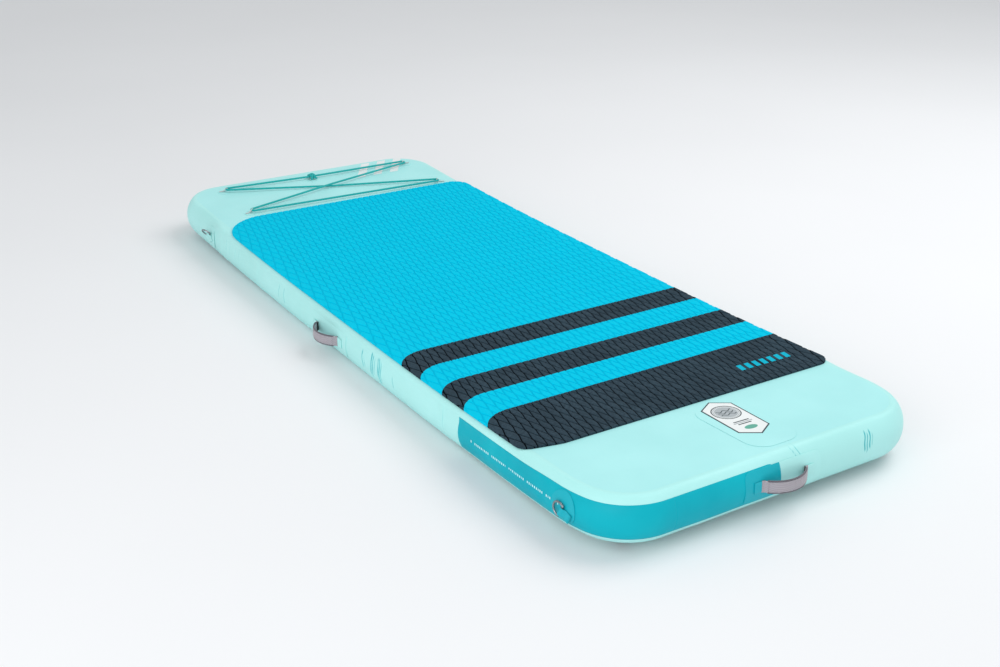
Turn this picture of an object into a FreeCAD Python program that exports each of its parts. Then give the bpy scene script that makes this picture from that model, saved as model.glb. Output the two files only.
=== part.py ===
import FreeCAD, Part
import math
import os
import Sketcher

# Inflatable drop-stitch platform board, in millimetres.
# Frame: +Y towards the end with the bungee, +X to the right of it, +Z up.
# The origin is on the floor, under the middle of the board.

V = FreeCAD.Vector
UP = V(0, 0, 1)
LEFT, RIGHT = -1, 1
TAIL, NOSE = -1, 1

DIMENSIONS = [
    # hull
    ("board_length", 2282), ("board_width", 858), ("board_thickness", 102), ("rail_bulge", 21.8),
    ("flat_half_length", 209.5), ("rocker_radius", 17100), ("skin_thickness", 1.2),
    ("tape_thickness", 0.8), ("tail_blend_radius", 340), ("tail_blend_angle", 14.4),
    ("tail_corner_radius", 133), ("nose_corner_radius", 130), ("yarn_radius", 1),
    ("yarn_pitch_x", 90), ("yarn_pitch_y", 120),
    # printed band and patches on the rail
    ("band_thickness", 0.6), ("band_half_angle", 31), ("band_front", -605), ("band_tail_end", -8),
    ("patch_thickness", 1), ("patch_half_angle", 29), ("handle_patch_length", 200),
    ("ring_patch_radius", 34),
    # foam deck pad
    ("pad_thickness", 5.5), ("pad_half_width", 417), ("pad_tail", -855.5), ("pad_nose", 804),
    ("pad_tail_left_corner", 30), ("pad_tail_right_corner", 34), ("pad_nose_left_corner", 140),
    ("pad_nose_right_corner", 48), ("pad_sweep_start", -327), ("pad_sweep_angle", 13),
    ("stripe_1", -290), ("stripe_2", -379), ("stripe_3", -474), ("stripe_4", -567),
    ("stripe_5", -663), ("sweep_radius", 90), ("sweep_angle", 60),
    # bungee
    ("bungee_diameter", 6), ("bungee_height", 9), ("anchor_patch_radius", 18),
    ("anchor_patch_thickness", 1), ("anchor_width", 5), ("anchor_loop_radius", 7),
    ("anchor_strap", 1.2), ("bungee_bend", 6), ("knot_radius", 9), ("knot_height", 6),
    ("knot_length", 20), ("knot_tail", 20),
    # towing rings
    ("ring_wire", 4.5), ("ring_bend_radius", 15), ("ring_leg", 6), ("ring_standoff", 5.6),
    ("tab_width", 24), ("tab_thickness", 1.4), ("tab_clearance", 0.3), ("tab_length", 34),
    # carry handles
    ("handle_radius", 71), ("handle_reach", 30), ("strap_width", 23), ("strap_thickness", 2),
    ("sleeve_width", 26), ("sleeve_thickness", 4.4), ("sleeve_half_angle", 43.5),
    ("strap_end", 51), ("foot_end_angle", 52), ("foot_length", 24),
    # inflation valve
    ("valve_x", 250), ("valve_flange_radius", 24), ("valve_flange", 1.5), ("valve_seat", 5),
    ("valve_throat_radius", 12), ("valve_barrel_radius", 16), ("valve_depth", 26),
    ("valve_stem_radius", 3), ("valve_disc_radius", 15.5), ("valve_disc", 3), ("valve_guide", 3),
    ("guide_level", 16), ("head_level", 5), ("port_radius", 3), ("valve_nut_radius", 23),
    ("valve_nut", 5), ("cap_radius", 17), ("cap_height", 5), ("cap_wall", 2), ("cap_plug", 2),
    ("tether_thickness", 1.2), ("tether_eye_radius", 12.4), ("seal_wire", 1.2),
    ("running_clearance", 0.3), ("spring_radius", 5.5), ("spring_wire", 0.4),
    # label and anchor loops under the tail
    ("label_length", 175), ("label_width", 82), ("label_shoulder", 26), ("label_thickness", 0.4),
    ("label_x", 33.5), ("label_y", -957.5), ("label_turn", -2.1), ("label_base_length", 220),
    ("label_base_width", 127), ("label_base_corner", 45), ("label_base_shift", -31),
    ("under_loop_x", 345), ("under_loop_y", -1072),
]

doc = FreeCAD.newDocument("platform_board")
sheet = doc.addObject("Spreadsheet::Sheet", "Dims")
for row, (alias, value) in enumerate(DIMENSIONS, start=1):
    sheet.set("A%d" % row, alias)
    sheet.set("B%d" % row, str(value))
    sheet.setAlias("B%d" % row, alias)
doc.recompute()


def dim(alias):
    return float(getattr(sheet, alias))


def number(expression):
    return float(sheet.evalExpression(expression))


SUB_PARTS = []


def keep(item, label):
    """Name a finished sub-part; its label is also the name of its file."""
    item.Label = label
    SUB_PARTS.append(item)
    return item


def feature(label, shape, placement=None):
    """A sub-part whose shape is worked out from the sheet's sizes."""
    item = doc.addObject("Part::Feature", label)
    item.Shape = shape
    if placement is not None:
        item.Placement = placement
    return keep(item, label)


# ---------------------------------------------------------------- hull geometry

HALF_LENGTH = dim("board_length") / 2
HALF_WIDTH = dim("board_width") / 2
HALF_THICK = dim("board_thickness") / 2
BULGE = dim("rail_bulge")
RAIL_RADIUS = (HALF_THICK ** 2 + BULGE ** 2) / (2 * BULGE)
RAIL_ANGLE = math.degrees(math.asin(HALF_THICK / RAIL_RADIUS))
FLAT = dim("flat_half_length")
ROCKER = dim("rocker_radius")
NOSE_RADIUS = dim("nose_corner_radius")
TAIL_RADIUS = dim("tail_corner_radius")
BLEND_RADIUS = dim("tail_blend_radius")
BLEND_ANGLE = math.radians(dim("tail_blend_angle"))

# how far each rounded end reaches along the board, and in from its side
TAIL_REACH = BLEND_RADIUS * math.sin(BLEND_ANGLE) + TAIL_RADIUS * (1 - math.sin(BLEND_ANGLE))
TAIL_INSET = BLEND_RADIUS * (1 - math.cos(BLEND_ANGLE)) + TAIL_RADIUS * math.cos(BLEND_ANGLE)
TAIL_STATION = HALF_LENGTH - TAIL_REACH
NOSE_STATION = HALF_LENGTH - NOSE_RADIUS
TAIL_SLOPE = (TAIL_STATION - FLAT) / ROCKER
NOSE_SLOPE = (NOSE_STATION - FLAT) / ROCKER


def station(y):
    """The placement that carries the flat board at length y to the rockered board."""
    end = NOSE if y >= 0 else TAIL
    last = NOSE_STATION if end == NOSE else TAIL_STATION
    if abs(y) <= FLAT:
        return FreeCAD.Placement(V(0, y, 0), FreeCAD.Rotation())
    slope = (min(abs(y), last) - FLAT) / ROCKER
    turn = FreeCAD.Rotation(V(1, 0, 0), end * math.degrees(slope))
    centre = V(0, end * FLAT, ROCKER + HALF_THICK)
    base = centre + turn.multVec(V(0, end * max(0, abs(y) - last), -ROCKER - HALF_THICK))
    return FreeCAD.Placement(base, turn)


def on_deck(x, y, height=0.0):
    """A point above the deck skin, at flat-board place x, y."""
    return station(y).multVec(V(x, 0, dim("board_thickness") + height))


def arc_through(start, middle, end):
    return Part.Arc(start, middle, end).toShape()


def strip_face(frame, inner, outer, low, high):
    """A slice of the rail's bulge, between two radii and two angles in degrees."""
    origin, outward, upward = frame

    def at(radius, angle):
        turn = math.radians(angle)
        return (origin + outward * (radius * math.cos(turn) - RAIL_RADIUS)
                + upward * (radius * math.sin(turn)))

    middle = (low + high) / 2
    edges = [
        Part.LineSegment(at(inner, low), at(outer, low)).toShape(),
        arc_through(at(outer, low), at(outer, middle), at(outer, high)),
        Part.LineSegment(at(outer, high), at(inner, high)).toShape(),
        arc_through(at(inner, high), at(inner, middle), at(inner, low)),
    ]
    return Part.Face(Part.Wire(edges))


def follow_rail(start, moves, section):
    """Carry a rail section along straight, rocker and turn moves, and join the lengths."""
    origin, along, outward = start
    lengths = []
    for kind, size, *radius in moves:
        upward = along.cross(outward)
        if upward.z < 0:
            upward = upward * -1
        face = section((origin, outward, upward))
        if kind == "straight":
            lengths.append(face.extrude(along * size))
            origin = origin + along * size
            continue
        if kind == "rocker":
            centre, axis = origin + upward * ROCKER, along.cross(upward)
        else:
            centre = origin - outward * radius[0]
            axis = upward if along.cross(outward).z < 0 else upward * -1
        lengths.append(face.revolve(centre, axis, size))
        turn = FreeCAD.Rotation(axis, size)
        origin = centre + turn.multVec(origin - centre)
        along = turn.multVec(along)
        outward = turn.multVec(outward)
    joined = lengths[0].multiFuse(lengths[1:]) if len(lengths) > 1 else lengths[0]
    joined = joined.removeSplitter()
    return joined.Solids[0] if len(joined.Solids) == 1 else joined


def rail_start(side):
    """The rail's widest line beside the middle of the board, heading for the tail."""
    return V(side * HALF_WIDTH, 0, HALF_THICK), V(0, -1, 0), V(side, 0, 0)


TAIL_TURN = 90 - math.degrees(BLEND_ANGLE)
TAIL_EDGE = 2 * (HALF_WIDTH - TAIL_INSET)
NOSE_EDGE = 2 * (HALF_WIDTH - NOSE_RADIUS)
TO_TAIL = [
    ("straight", FLAT),
    ("rocker", math.degrees(TAIL_SLOPE)),
    ("turn", math.degrees(BLEND_ANGLE), BLEND_RADIUS),
    ("turn", TAIL_TURN, TAIL_RADIUS),
]
FROM_TAIL = TO_TAIL[::-1]
TO_NOSE = [
    ("straight", FLAT),
    ("rocker", math.degrees(NOSE_SLOPE)),
    ("turn", 90, NOSE_RADIUS),
]
FROM_NOSE = TO_NOSE[::-1]
AROUND = TO_TAIL + [("straight", TAIL_EDGE)] + FROM_TAIL + TO_NOSE + [("straight", NOSE_EDGE)] + FROM_NOSE


def all_round(inner, outer, half_angle):
    return follow_rail(rail_start(LEFT), AROUND,
                       lambda frame: strip_face(frame, inner, outer, -half_angle, half_angle))


def end_outline(end, inset):
    """Flat outline of one rounded end, from its station to its tip, inset from the widest line."""
    last = TAIL_STATION if end == TAIL else NOSE_STATION
    tip = HALF_LENGTH - inset - last
    side = HALF_WIDTH - inset
    if end == NOSE:
        radius = NOSE_RADIUS - inset
        middle = radius * math.sqrt(0.5)
        corner = V(side - radius, tip - radius, 0)
        right = [arc_through(V(side, 0, 0), corner + V(middle, middle, 0), V(side - radius, tip, 0))]
        if tip - radius > 0.01:
            right.insert(0, Part.LineSegment(V(side, 0, 0), V(side, tip - radius, 0)).toShape())
            right[1] = arc_through(V(side, tip - radius, 0), corner + V(middle, middle, 0),
                                   V(side - radius, tip, 0))
        flat_end = side - radius
    else:
        blend, radius = BLEND_RADIUS - inset, TAIL_RADIUS - inset
        first = V(side - blend, 0, 0)
        join = first + V(math.cos(BLEND_ANGLE), math.sin(BLEND_ANGLE), 0) * blend
        second = join - V(math.cos(BLEND_ANGLE), math.sin(BLEND_ANGLE), 0) * radius
        half = BLEND_ANGLE / 2
        rest = (BLEND_ANGLE + math.pi / 2) / 2
        right = [
            arc_through(V(side, 0, 0), first + V(math.cos(half), math.sin(half), 0) * blend, join),
            arc_through(join, second + V(math.cos(rest), math.sin(rest), 0) * radius,
                        second + V(0, radius, 0)),
        ]
        flat_end, tip = second.x, second.y + radius
    mirror = FreeCAD.Matrix()
    mirror.scale(-1, 1, 1)
    left = [edge.transformGeometry(mirror) for edge in right]
    edges = right + left + [
        Part.LineSegment(V(flat_end, tip, 0), V(-flat_end, tip, 0)).toShape(),
        Part.LineSegment(V(-side, 0, 0), V(side, 0, 0)).toShape(),
    ]
    return Part.Face(Part.Wire(Part.__sortEdges__(edges)))


def rocker_plate(bottom, top, half_width, ends_inset=None):
    """A sheet that follows the rocker, from height bottom to top; with rounded ends or without."""
    middle = Part.makeBox(2 * half_width, 2 * FLAT, top - bottom, V(-half_width, -FLAT, bottom))
    pieces = [middle]
    last = {TAIL: TAIL_STATION, NOSE: NOSE_STATION}
    for end, slope in ((TAIL, TAIL_SLOPE), (NOSE, NOSE_SLOPE)):
        corners = [V(-half_width, end * FLAT, bottom), V(half_width, end * FLAT, bottom),
                   V(half_width, end * FLAT, top), V(-half_width, end * FLAT, top)]
        face = Part.Face(Part.makePolygon(corners + corners[:1]))
        pieces.append(face.revolve(V(0, end * FLAT, ROCKER + HALF_THICK), V(end, 0, 0),
                                   math.degrees(slope)))
        if ends_inset is not None:
            cap = end_outline(end, ends_inset).extrude(UP * (top - bottom))
            if end == TAIL:
                cap = cap.mirror(V(0, 0, 0), V(0, 1, 0))
            cap.translate(V(0, 0, bottom))
            cap.Placement = station(end * last[end]).multiply(cap.Placement)
            pieces.append(cap)
    return pieces[0].multiFuse(pieces[1:]).removeSplitter().Solids[0]


def make_hull():
    thick, skin, tape = dim("board_thickness"), dim("skin_thickness"), dim("tape_thickness")
    inset = BULGE + tape
    feature("deck_skin", rocker_plate(thick - skin, thick, HALF_WIDTH - inset, inset))
    feature("bottom_skin", rocker_plate(0, skin, HALF_WIDTH - inset, inset))
    wall = RAIL_RADIUS - tape
    opening = Part.makeCylinder(dim("valve_flange_radius") + 0.2, 60, V(0, 0, -30))
    opening = placed(opening, valve_frame())
    feature("inner_side_wall", all_round(wall - skin, wall, RAIL_ANGLE - 1).cut(opening))
    feature("rail_tape", all_round(wall, RAIL_RADIUS, RAIL_ANGLE).cut(opening))


def make_yarns():
    """Drop-stitch yarns that hold the two skins apart, on a coarse grid."""
    skin, radius = dim("skin_thickness"), dim("yarn_radius")
    height = dim("board_thickness") - 2 * skin
    across = int((HALF_WIDTH - 2 * BULGE) / dim("yarn_pitch_x"))
    along = int((HALF_LENGTH - NOSE_RADIUS) / dim("yarn_pitch_y"))
    yarns = []
    for row in range(-along, along + 1):
        frame = station(row * dim("yarn_pitch_y"))
        for column in range(-across, across + 1):
            yarn = Part.makeCylinder(radius, height, V(column * dim("yarn_pitch_x"), 0, skin))
            yarn.Placement = frame.multiply(yarn.Placement)
            yarns.append(yarn)
    feature("drop_stitch_yarns", Part.makeCompound(yarns))


# ---------------------------------------------------------------- band and patches

def make_band():
    """Printed band along the left rail and round the tail to the middle."""
    half_angle, thick = dim("band_half_angle"), dim("band_thickness")
    origin, along, outward = rail_start(LEFT)
    front = -dim("band_front")
    turned = (front - FLAT) / ROCKER
    axis = along.cross(UP)
    centre = origin + along * FLAT + UP * ROCKER
    turn = FreeCAD.Rotation(axis, math.degrees(turned))
    start = (centre + turn.multVec(origin + along * FLAT - centre), turn.multVec(along), outward)
    moves = [("rocker", math.degrees(TAIL_SLOPE - turned))] + TO_TAIL[2:]
    moves.append(("straight", TAIL_EDGE / 2 + dim("band_tail_end")))
    band = follow_rail(start, moves, lambda frame: strip_face(
        frame, RAIL_RADIUS, RAIL_RADIUS + thick, -half_angle, half_angle))
    height = 2 * RAIL_RADIUS * math.sin(math.radians(half_angle))
    window = rounded_block(2 * (front + TAIL_STATION), 2 * height, height * 0.36, 60)
    corner = V(-HALF_WIDTH - 30, -front - (front + TAIL_STATION), HALF_THICK)
    window.Placement = FreeCAD.Placement(corner + V(0, 0, station(-front).Base.z + height * 0.5),
                                         FreeCAD.Rotation(V(0, 1, 0), 90))
    end_cut = Part.makeBox(200, 120, 400, V(-HALF_WIDTH - 100, -front - 120, -100))
    front_end = band.common(end_cut).common(window)
    rest = band.cut(end_cut)
    feature("rail_band", front_end.fuse(rest).removeSplitter().Solids[0])


def rounded_block(length, height, corner, depth):
    """A plate with rounded corners: length along Y, height along X, extruded along Z."""
    block = Part.makeBox(height, length, depth, V(-height / 2, -length / 2, 0))
    edges = [edge for edge in block.Edges
             if abs(edge.tangentAt(edge.FirstParameter).z) > 0.99]
    return block.makeFillet(corner, edges)


def rail_frame(side, y):
    """Placement on the side's widest line: local X outwards, local Z up."""
    blend = math.asin(max(0, -y - TAIL_STATION) / BLEND_RADIUS)
    inset = BLEND_RADIUS * (1 - math.cos(blend))
    turn = FreeCAD.Rotation(UP, -math.degrees(blend) if side == RIGHT
                            else 180 + math.degrees(blend))
    middle = FreeCAD.Placement(V(side * (HALF_WIDTH - inset), 0, HALF_THICK), turn)
    return station(y).multiply(middle)


def end_rail_frame(end, x):
    """Placement beside the middle of an end: local X outwards, local Z up."""
    turn = FreeCAD.Rotation(UP, 90 if end == NOSE else -90)
    last = HALF_LENGTH * end
    return station(last).multiply(FreeCAD.Placement(V(x, 0, HALF_THICK), turn))


def rail_patch(length, half_angle, inner, thick, cutter, bend=None):
    """A patch glued on the rail, in a rail frame, trimmed to its outline by cutter."""
    if bend is None:
        frame = (V(0, -length / 2, 0), V(1, 0, 0), UP)
        strip = strip_face(frame, inner, inner + thick, -half_angle, half_angle)
        return strip.extrude(V(0, length, 0)).common(cutter).Solids[0]
    strip = strip_face((V(0, 0, 0), V(1, 0, 0), UP), inner, inner + thick, -half_angle, half_angle)
    reach = math.degrees(length / 2 / bend)
    strip.rotate(V(-bend, 0, 0), UP, -reach)
    return strip.revolve(V(-bend, 0, 0), UP, 2 * reach).common(cutter).Solids[0]


HANDLE_PLACES = {
    "left": rail_frame(LEFT, 32),
    "right": rail_frame(RIGHT, 32),
    "tail": end_rail_frame(TAIL, 0),
    "nose": end_rail_frame(NOSE, 0),
}
# where each towing ring's bar sits: side, length, height above mid-rail, lean of the ring from
# upright towards the nose, and how far it stands away from the rail
RING_PLACES = {
    "rear_left": (LEFT, -993, -6, 60, 0),
    "rear_right": (RIGHT, -993, -6, 60, 0),
    "front_left": (LEFT, 840, 12, 27, 45),
    "front_right": (RIGHT, 840, 12, 27, 45),
}


def placed(shape, placement):
    copy = shape.copy()
    copy.Placement = placement.multiply(copy.Placement)
    return copy


def make_patches():
    thick, half_angle = dim("patch_thickness"), dim("patch_half_angle")
    length = dim("handle_patch_length")
    height = 2 * RAIL_RADIUS * math.sin(math.radians(half_angle))
    outline = placed(rounded_block(length, height, 14, 80),
                     FreeCAD.Placement(V(-60, 0, 0), FreeCAD.Rotation(V(0, 1, 0), 90)))
    base = RAIL_RADIUS + dim("band_thickness")
    patch = rail_patch(length, half_angle, base, thick, outline)
    feature("handle_patches", Part.makeCompound(
        [placed(patch, place) for place in HANDLE_PLACES.values()]))
    disc = Part.makeCylinder(dim("ring_patch_radius"), 80, V(-60, 0, 0), V(1, 0, 0))
    patches = []
    for side, y, *_ in RING_PLACES.values():
        bend = BLEND_RADIUS if y < -TAIL_STATION else None
        patch = rail_patch(2 * dim("ring_patch_radius"), half_angle, base, thick, disc, bend)
        patches.append(placed(patch, rail_frame(side, y)))
    feature("ring_patches", Part.makeCompound(patches))


# ---------------------------------------------------------------- foam deck pad

def swept_line(y):
    """Boundary between two pad colours: straight across, curling towards the tail at the left."""
    radius, sweep = dim("sweep_radius"), math.radians(dim("sweep_angle"))
    half = dim("pad_half_width")
    start = V(-half + radius * math.sin(sweep), y, 0)
    edge = V(-half, y - radius * (1 - math.cos(sweep)), 0)
    middle = start + V(-radius * math.sin(sweep / 2), -radius * (1 - math.cos(sweep / 2)), 0)
    slope = V(-math.cos(sweep), -math.sin(sweep), 0) * 60
    return [Part.LineSegment(V(half + 40, y, 0), start).toShape(),
            arc_through(start, middle, edge),
            Part.LineSegment(edge, edge + slope).toShape()]


def behind(y, depth):
    """Block of all the pad that lies towards the tail from a swept boundary."""
    edges = swept_line(y)
    first, last = edges[0].Vertexes[0].Point, edges[-1].Vertexes[-1].Point
    far = dim("pad_tail") - 100
    closing = [V(last.x, last.y, 0), V(last.x, far, 0), V(first.x, far, 0), V(first.x, first.y, 0)]
    edges += [Part.LineSegment(a, b).toShape() for a, b in zip(closing, closing[1:])]
    return Part.Face(Part.Wire(Part.__sortEdges__(edges))).extrude(UP * depth)


def pad_outline():
    """The pad's outline as an upright block; its rear left corner is swept before it is rounded."""
    half, tail, nose = dim("pad_half_width"), dim("pad_tail"), dim("pad_nose")
    sweep_x = dim("pad_sweep_start")
    lift = (half + sweep_x) * math.tan(math.radians(dim("pad_sweep_angle")))
    corners = [V(sweep_x, tail, 0), V(half, tail, 0), V(half, nose, 0), V(-half, nose, 0),
               V(-half, tail + lift, 0)]
    radii = [120, dim("pad_tail_right_corner"), dim("pad_nose_right_corner"),
             dim("pad_nose_left_corner"), dim("pad_tail_left_corner")]
    middle = (corners[0] + corners[1]) * 0.5
    outline = rounded_route([middle] + corners[1:] + corners[:1] + [middle], radii[1:] + radii[:1])
    block = Part.Face(outline).extrude(UP * 300)
    block.translate(UP * -20)
    return block


def make_pad():
    thick = dim("board_thickness")
    layer = rocker_plate(thick, thick + dim("pad_thickness"), dim("pad_half_width") + 5)
    layer = layer.common(pad_outline())
    names = ["pad_main", "pad_stripe_dark_front", "pad_stripe_blue_front", "pad_stripe_dark_middle",
             "pad_stripe_blue_rear", "pad_stripe_dark_rear"]
    lines = [dim("stripe_%d" % line) for line in range(1, 6)]
    rest = layer
    for name, line in zip(names, lines):
        block = behind(line, 300)
        feature(name, rest.cut(block).Solids[0])
        rest = rest.common(block)
    feature(names[-1], rest.Solids[0])


# ---------------------------------------------------------------- bungee

ANCHORS = {
    "front_left": (-283, 1057), "front_right": (327, 1040),
    "rear_left": (-284, 848), "rear_right": (338, 829),
}
ANCHOR_LEGS = {
    "front_left": ("rear_right", "front_right"), "front_right": ("front_left", "rear_left"),
    "rear_left": ("front_right", "rear_right"), "rear_right": ("rear_left", "front_left"),
}
KNOT_X = 1


def rounded_route(points, radii):
    """Straight runs joined by tangent arcs, one radius for each inner point."""
    edges, start = [], points[0]
    for before, corner, after, radius in zip(points, points[1:], points[2:], radii):
        into, out = (corner - before).normalize(), (after - corner).normalize()
        turn = into.getAngle(out)
        cut = radius * math.tan(turn / 2)
        first, last = corner - into * cut, corner + out * cut
        inward = (out - into).normalize()
        middle = corner + inward * (radius / math.cos(turn / 2) - radius)
        edges.append(Part.LineSegment(start, first).toShape())
        edges.append(arc_through(first, middle, last))
        start = last
    edges.append(Part.LineSegment(start, points[-1]).toShape())
    return Part.Wire(edges)


def anchor_way(anchor, before, after):
    """The way an anchor's tab points, and the way the cord runs through its eye."""
    outward = (anchor - (before + after) * 0.5).normalize()
    side = UP.cross(outward).normalize()
    if (before - anchor).dot(side) < 0:
        side = side * -1
    return outward, side


def bungee_points():
    """The route from one side of the knot round the four anchors to its other side."""
    height = dim("bungee_height")
    hop = dim("bungee_diameter") * 0.62
    bend = dim("bungee_bend")
    place = {name: on_deck(x, y, height) for name, (x, y) in ANCHORS.items()}
    front_y = (ANCHORS["front_left"][1] + ANCHORS["front_right"][1]) / 2
    gap = dim("knot_radius") + dim("running_clearance")
    start = on_deck(KNOT_X + gap, front_y, height)
    finish = on_deck(KNOT_X - gap, front_y, height)
    crossing = on_deck(24, 944, height)

    def round_anchor(name, before, after):
        """Two points beyond an anchor: the cord turns round it in two even arcs."""
        outward, side = anchor_way(place[name], before, after)
        reach = place[name] + outward * bend
        spread = side * (bend + dim("anchor_width") / 2)
        return [reach + spread, reach - spread]

    route = [start]
    route += round_anchor("front_right", start, place["rear_left"])
    route += [crossing + UP * hop]
    route += round_anchor("rear_left", place["front_right"], place["rear_right"])
    route += round_anchor("rear_right", place["rear_left"], place["front_left"])
    route += [crossing - UP * hop]
    route += round_anchor("front_left", place["rear_right"], finish)
    route += [finish]
    return route


def make_bungee():
    radius, bend = dim("bungee_diameter") / 2, dim("bungee_bend")
    points = bungee_points()
    radii = [400 if index in (3, 8) else bend * 0.97 for index in range(1, len(points) - 1)]
    wire = rounded_route(points, radii)
    direction = points[1] - points[0]
    circle = Part.makeCircle(radius, points[0], direction)
    cord = wire.makePipeShell([Part.Wire(circle)], True, True)
    section = math.pi * radius ** 2
    print("bungee: length %.0f mm, volume / (section x length) = %.4f, bends of %.1f mm"
          % (wire.Length, cord.Volume / (section * wire.Length), bend * 0.97))
    feature("bungee_cord", cord)

    front_y = (ANCHORS["front_left"][1] + ANCHORS["front_right"][1]) / 2
    knot = station(front_y).multiply(FreeCAD.Placement(
        V(KNOT_X, 0, dim("board_thickness") + dim("bungee_height")), FreeCAD.Rotation()))
    ball = doc.addObject("Part::Ellipsoid", "knot_ball")
    ball.setExpression("Radius1", "Dims.knot_height")
    ball.setExpression("Radius2", "Dims.knot_radius")
    ball.setExpression("Radius3", "Dims.knot_length / 2")
    pieces = [ball]
    for index, turn in enumerate((150, 205)):
        tail = doc.addObject("Part::Cylinder", "knot_tail_%d" % index)
        tail.setExpression("Radius", "Dims.bungee_diameter / 2 - 0.3")
        tail.setExpression("Height", "Dims.knot_tail")
        lay = FreeCAD.Rotation(UP, turn).multiply(FreeCAD.Rotation(V(1, 0, 0), -90))
        tail.Placement = FreeCAD.Placement(V(0, 0, -1.5), lay)
        pieces.append(tail)
    tied = doc.addObject("Part::MultiFuse", "bungee_knot")
    tied.Shapes = pieces
    tied.Placement = knot
    keep(tied, "bungee_knot")

    loops, patches = [], []
    for name, (x, y) in ANCHORS.items():
        before, after = [on_deck(*ANCHORS[other]) for other in ANCHOR_LEGS[name]]
        outward = anchor_way(on_deck(x, y), before, after)[0]
        turn = FreeCAD.Rotation(UP, math.degrees(math.atan2(outward.y, outward.x)))
        frame = station(y).multiply(FreeCAD.Placement(V(x, 0, dim("board_thickness")), turn))
        patch = Part.makeCylinder(dim("anchor_patch_radius"), dim("anchor_patch_thickness"),
                                  V(bend + 8, 0, 0.05))
        patches.append(placed(patch, frame))
        loops.append(placed(anchor_loop(bend), frame))
    feature("bungee_anchor_patches", Part.makeCompound(patches))
    feature("bungee_anchor_loops", Part.makeCompound(loops))


def anchor_loop(reach):
    """A folded webbing tab along local X, with an eye along local Y that the bungee runs through."""
    base = dim("anchor_patch_thickness") + 0.05
    eye, strap, width = dim("bungee_diameter") / 2 + 0.3, dim("anchor_strap"), dim("anchor_width")
    centre = V(reach, 0, dim("bungee_height"))
    ring = Part.makeCylinder(eye + strap, width, centre - V(0, width / 2, 0), V(0, 1, 0))
    foot = Part.makeBox(18, width + 4, 2 * strap, V(reach, -width / 2 - 2, base))
    neck = Part.makeBox(strap * 2, width, centre.z - base, V(reach + eye, -width / 2, base))
    hole = Part.makeCylinder(eye, width + 2, centre - V(0, width / 2 + 1, 0), V(0, 1, 0))
    tab = ring.multiFuse([foot, neck]).cut(hole)
    return tab.removeSplitter().Solids[0]


def make_under_loops():
    """Two webbing loops glued under the tail's corners, for a ground line."""
    base, strap = dim("anchor_patch_thickness"), dim("anchor_strap")
    radius, width = dim("anchor_loop_radius"), dim("tab_width")
    loops = []
    for side in (LEFT, RIGHT):
        disc = Part.makeCylinder(dim("anchor_patch_radius"), base, V(0, 0, -base))
        ring = Part.makeCylinder(radius, width, V(0, -width / 2, -base), V(0, 1, 0))
        hole = Part.makeCylinder(radius - strap, width + 2, V(0, -width / 2 - 1, -base), V(0, 1, 0))
        below = Part.makeBox(60, 60, 30, V(-30, -30, -base - 30))
        loop = disc.fuse(ring.cut(hole).common(below)).Solids[0]
        frame = station(dim("under_loop_y")).multiply(FreeCAD.Placement(
            V(side * dim("under_loop_x"), 0, 0), FreeCAD.Rotation()))
        loops.append(placed(loop, frame))
    feature("underside_anchor_loops", Part.makeCompound(loops))


# ---------------------------------------------------------------- sketch helpers

def origin_plane(body, role):
    return [item for item in body.Origin.OriginFeatures if item.Role == role][0]


def closed_sketch(body, name, role, *outlines):
    """A fully constrained sketch of closed outlines, each corner bound to the sheet."""
    sketch = body.newObject("Sketcher::SketchObject", name)
    sketch.AttachmentSupport = [(origin_plane(body, role), "")]
    sketch.MapMode = "FlatFace"
    for corners in outlines:
        first = sketch.GeometryCount
        points = [V(number(x), number(y), 0) for x, y in corners]
        count = len(points)
        for index, point in enumerate(points):
            sketch.addGeometry(Part.LineSegment(point, points[(index + 1) % count]), False)
        for index in range(count):
            sketch.addConstraint(Sketcher.Constraint("Coincident", first + index, 2,
                                                     first + (index + 1) % count, 1))
        for index, (x, y) in enumerate(corners):
            for kind, text, value in (("DistanceX", x, points[index].x),
                                      ("DistanceY", y, points[index].y)):
                place = sketch.addConstraint(Sketcher.Constraint(kind, -1, 1, first + index, 1, value))
                if "Dims" in text:
                    sketch.setExpression("Constraints[%d]" % place, text)
    return sketch


def turned_body(label, outlines, placement, angle="360"):
    """A PartDesign body revolved about its own Z axis."""
    body = doc.addObject("PartDesign::Body", label)
    sketch = closed_sketch(body, label + "_profile", "XZ_Plane", *outlines)
    turned = body.newObject("PartDesign::Revolution", label + "_turned")
    turned.Profile = sketch
    turned.ReferenceAxis = (sketch, ["V_Axis"])
    turned.Midplane = True
    if "Dims" in angle:
        turned.setExpression("Angle", angle)
    else:
        turned.Angle = float(angle)
    body.Placement = placement
    return keep(body, label)


def rectangle(left, right, low, high):
    return [(left, low), (right, low), (right, high), (left, high)]


# ---------------------------------------------------------------- towing rings

def ring_frame(name):
    """Placement of a ring's bar: local Y along the bar, local Z from the tab to the ring's bend."""
    side, y, height, lean, stand = RING_PLACES[name]
    upright = FreeCAD.Rotation(V(1, 0, 0), lean if side == LEFT else -lean)
    place = FreeCAD.Placement(V(dim("ring_standoff"), 0, height), upright)
    return rail_frame(side, y).multiply(place)


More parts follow.
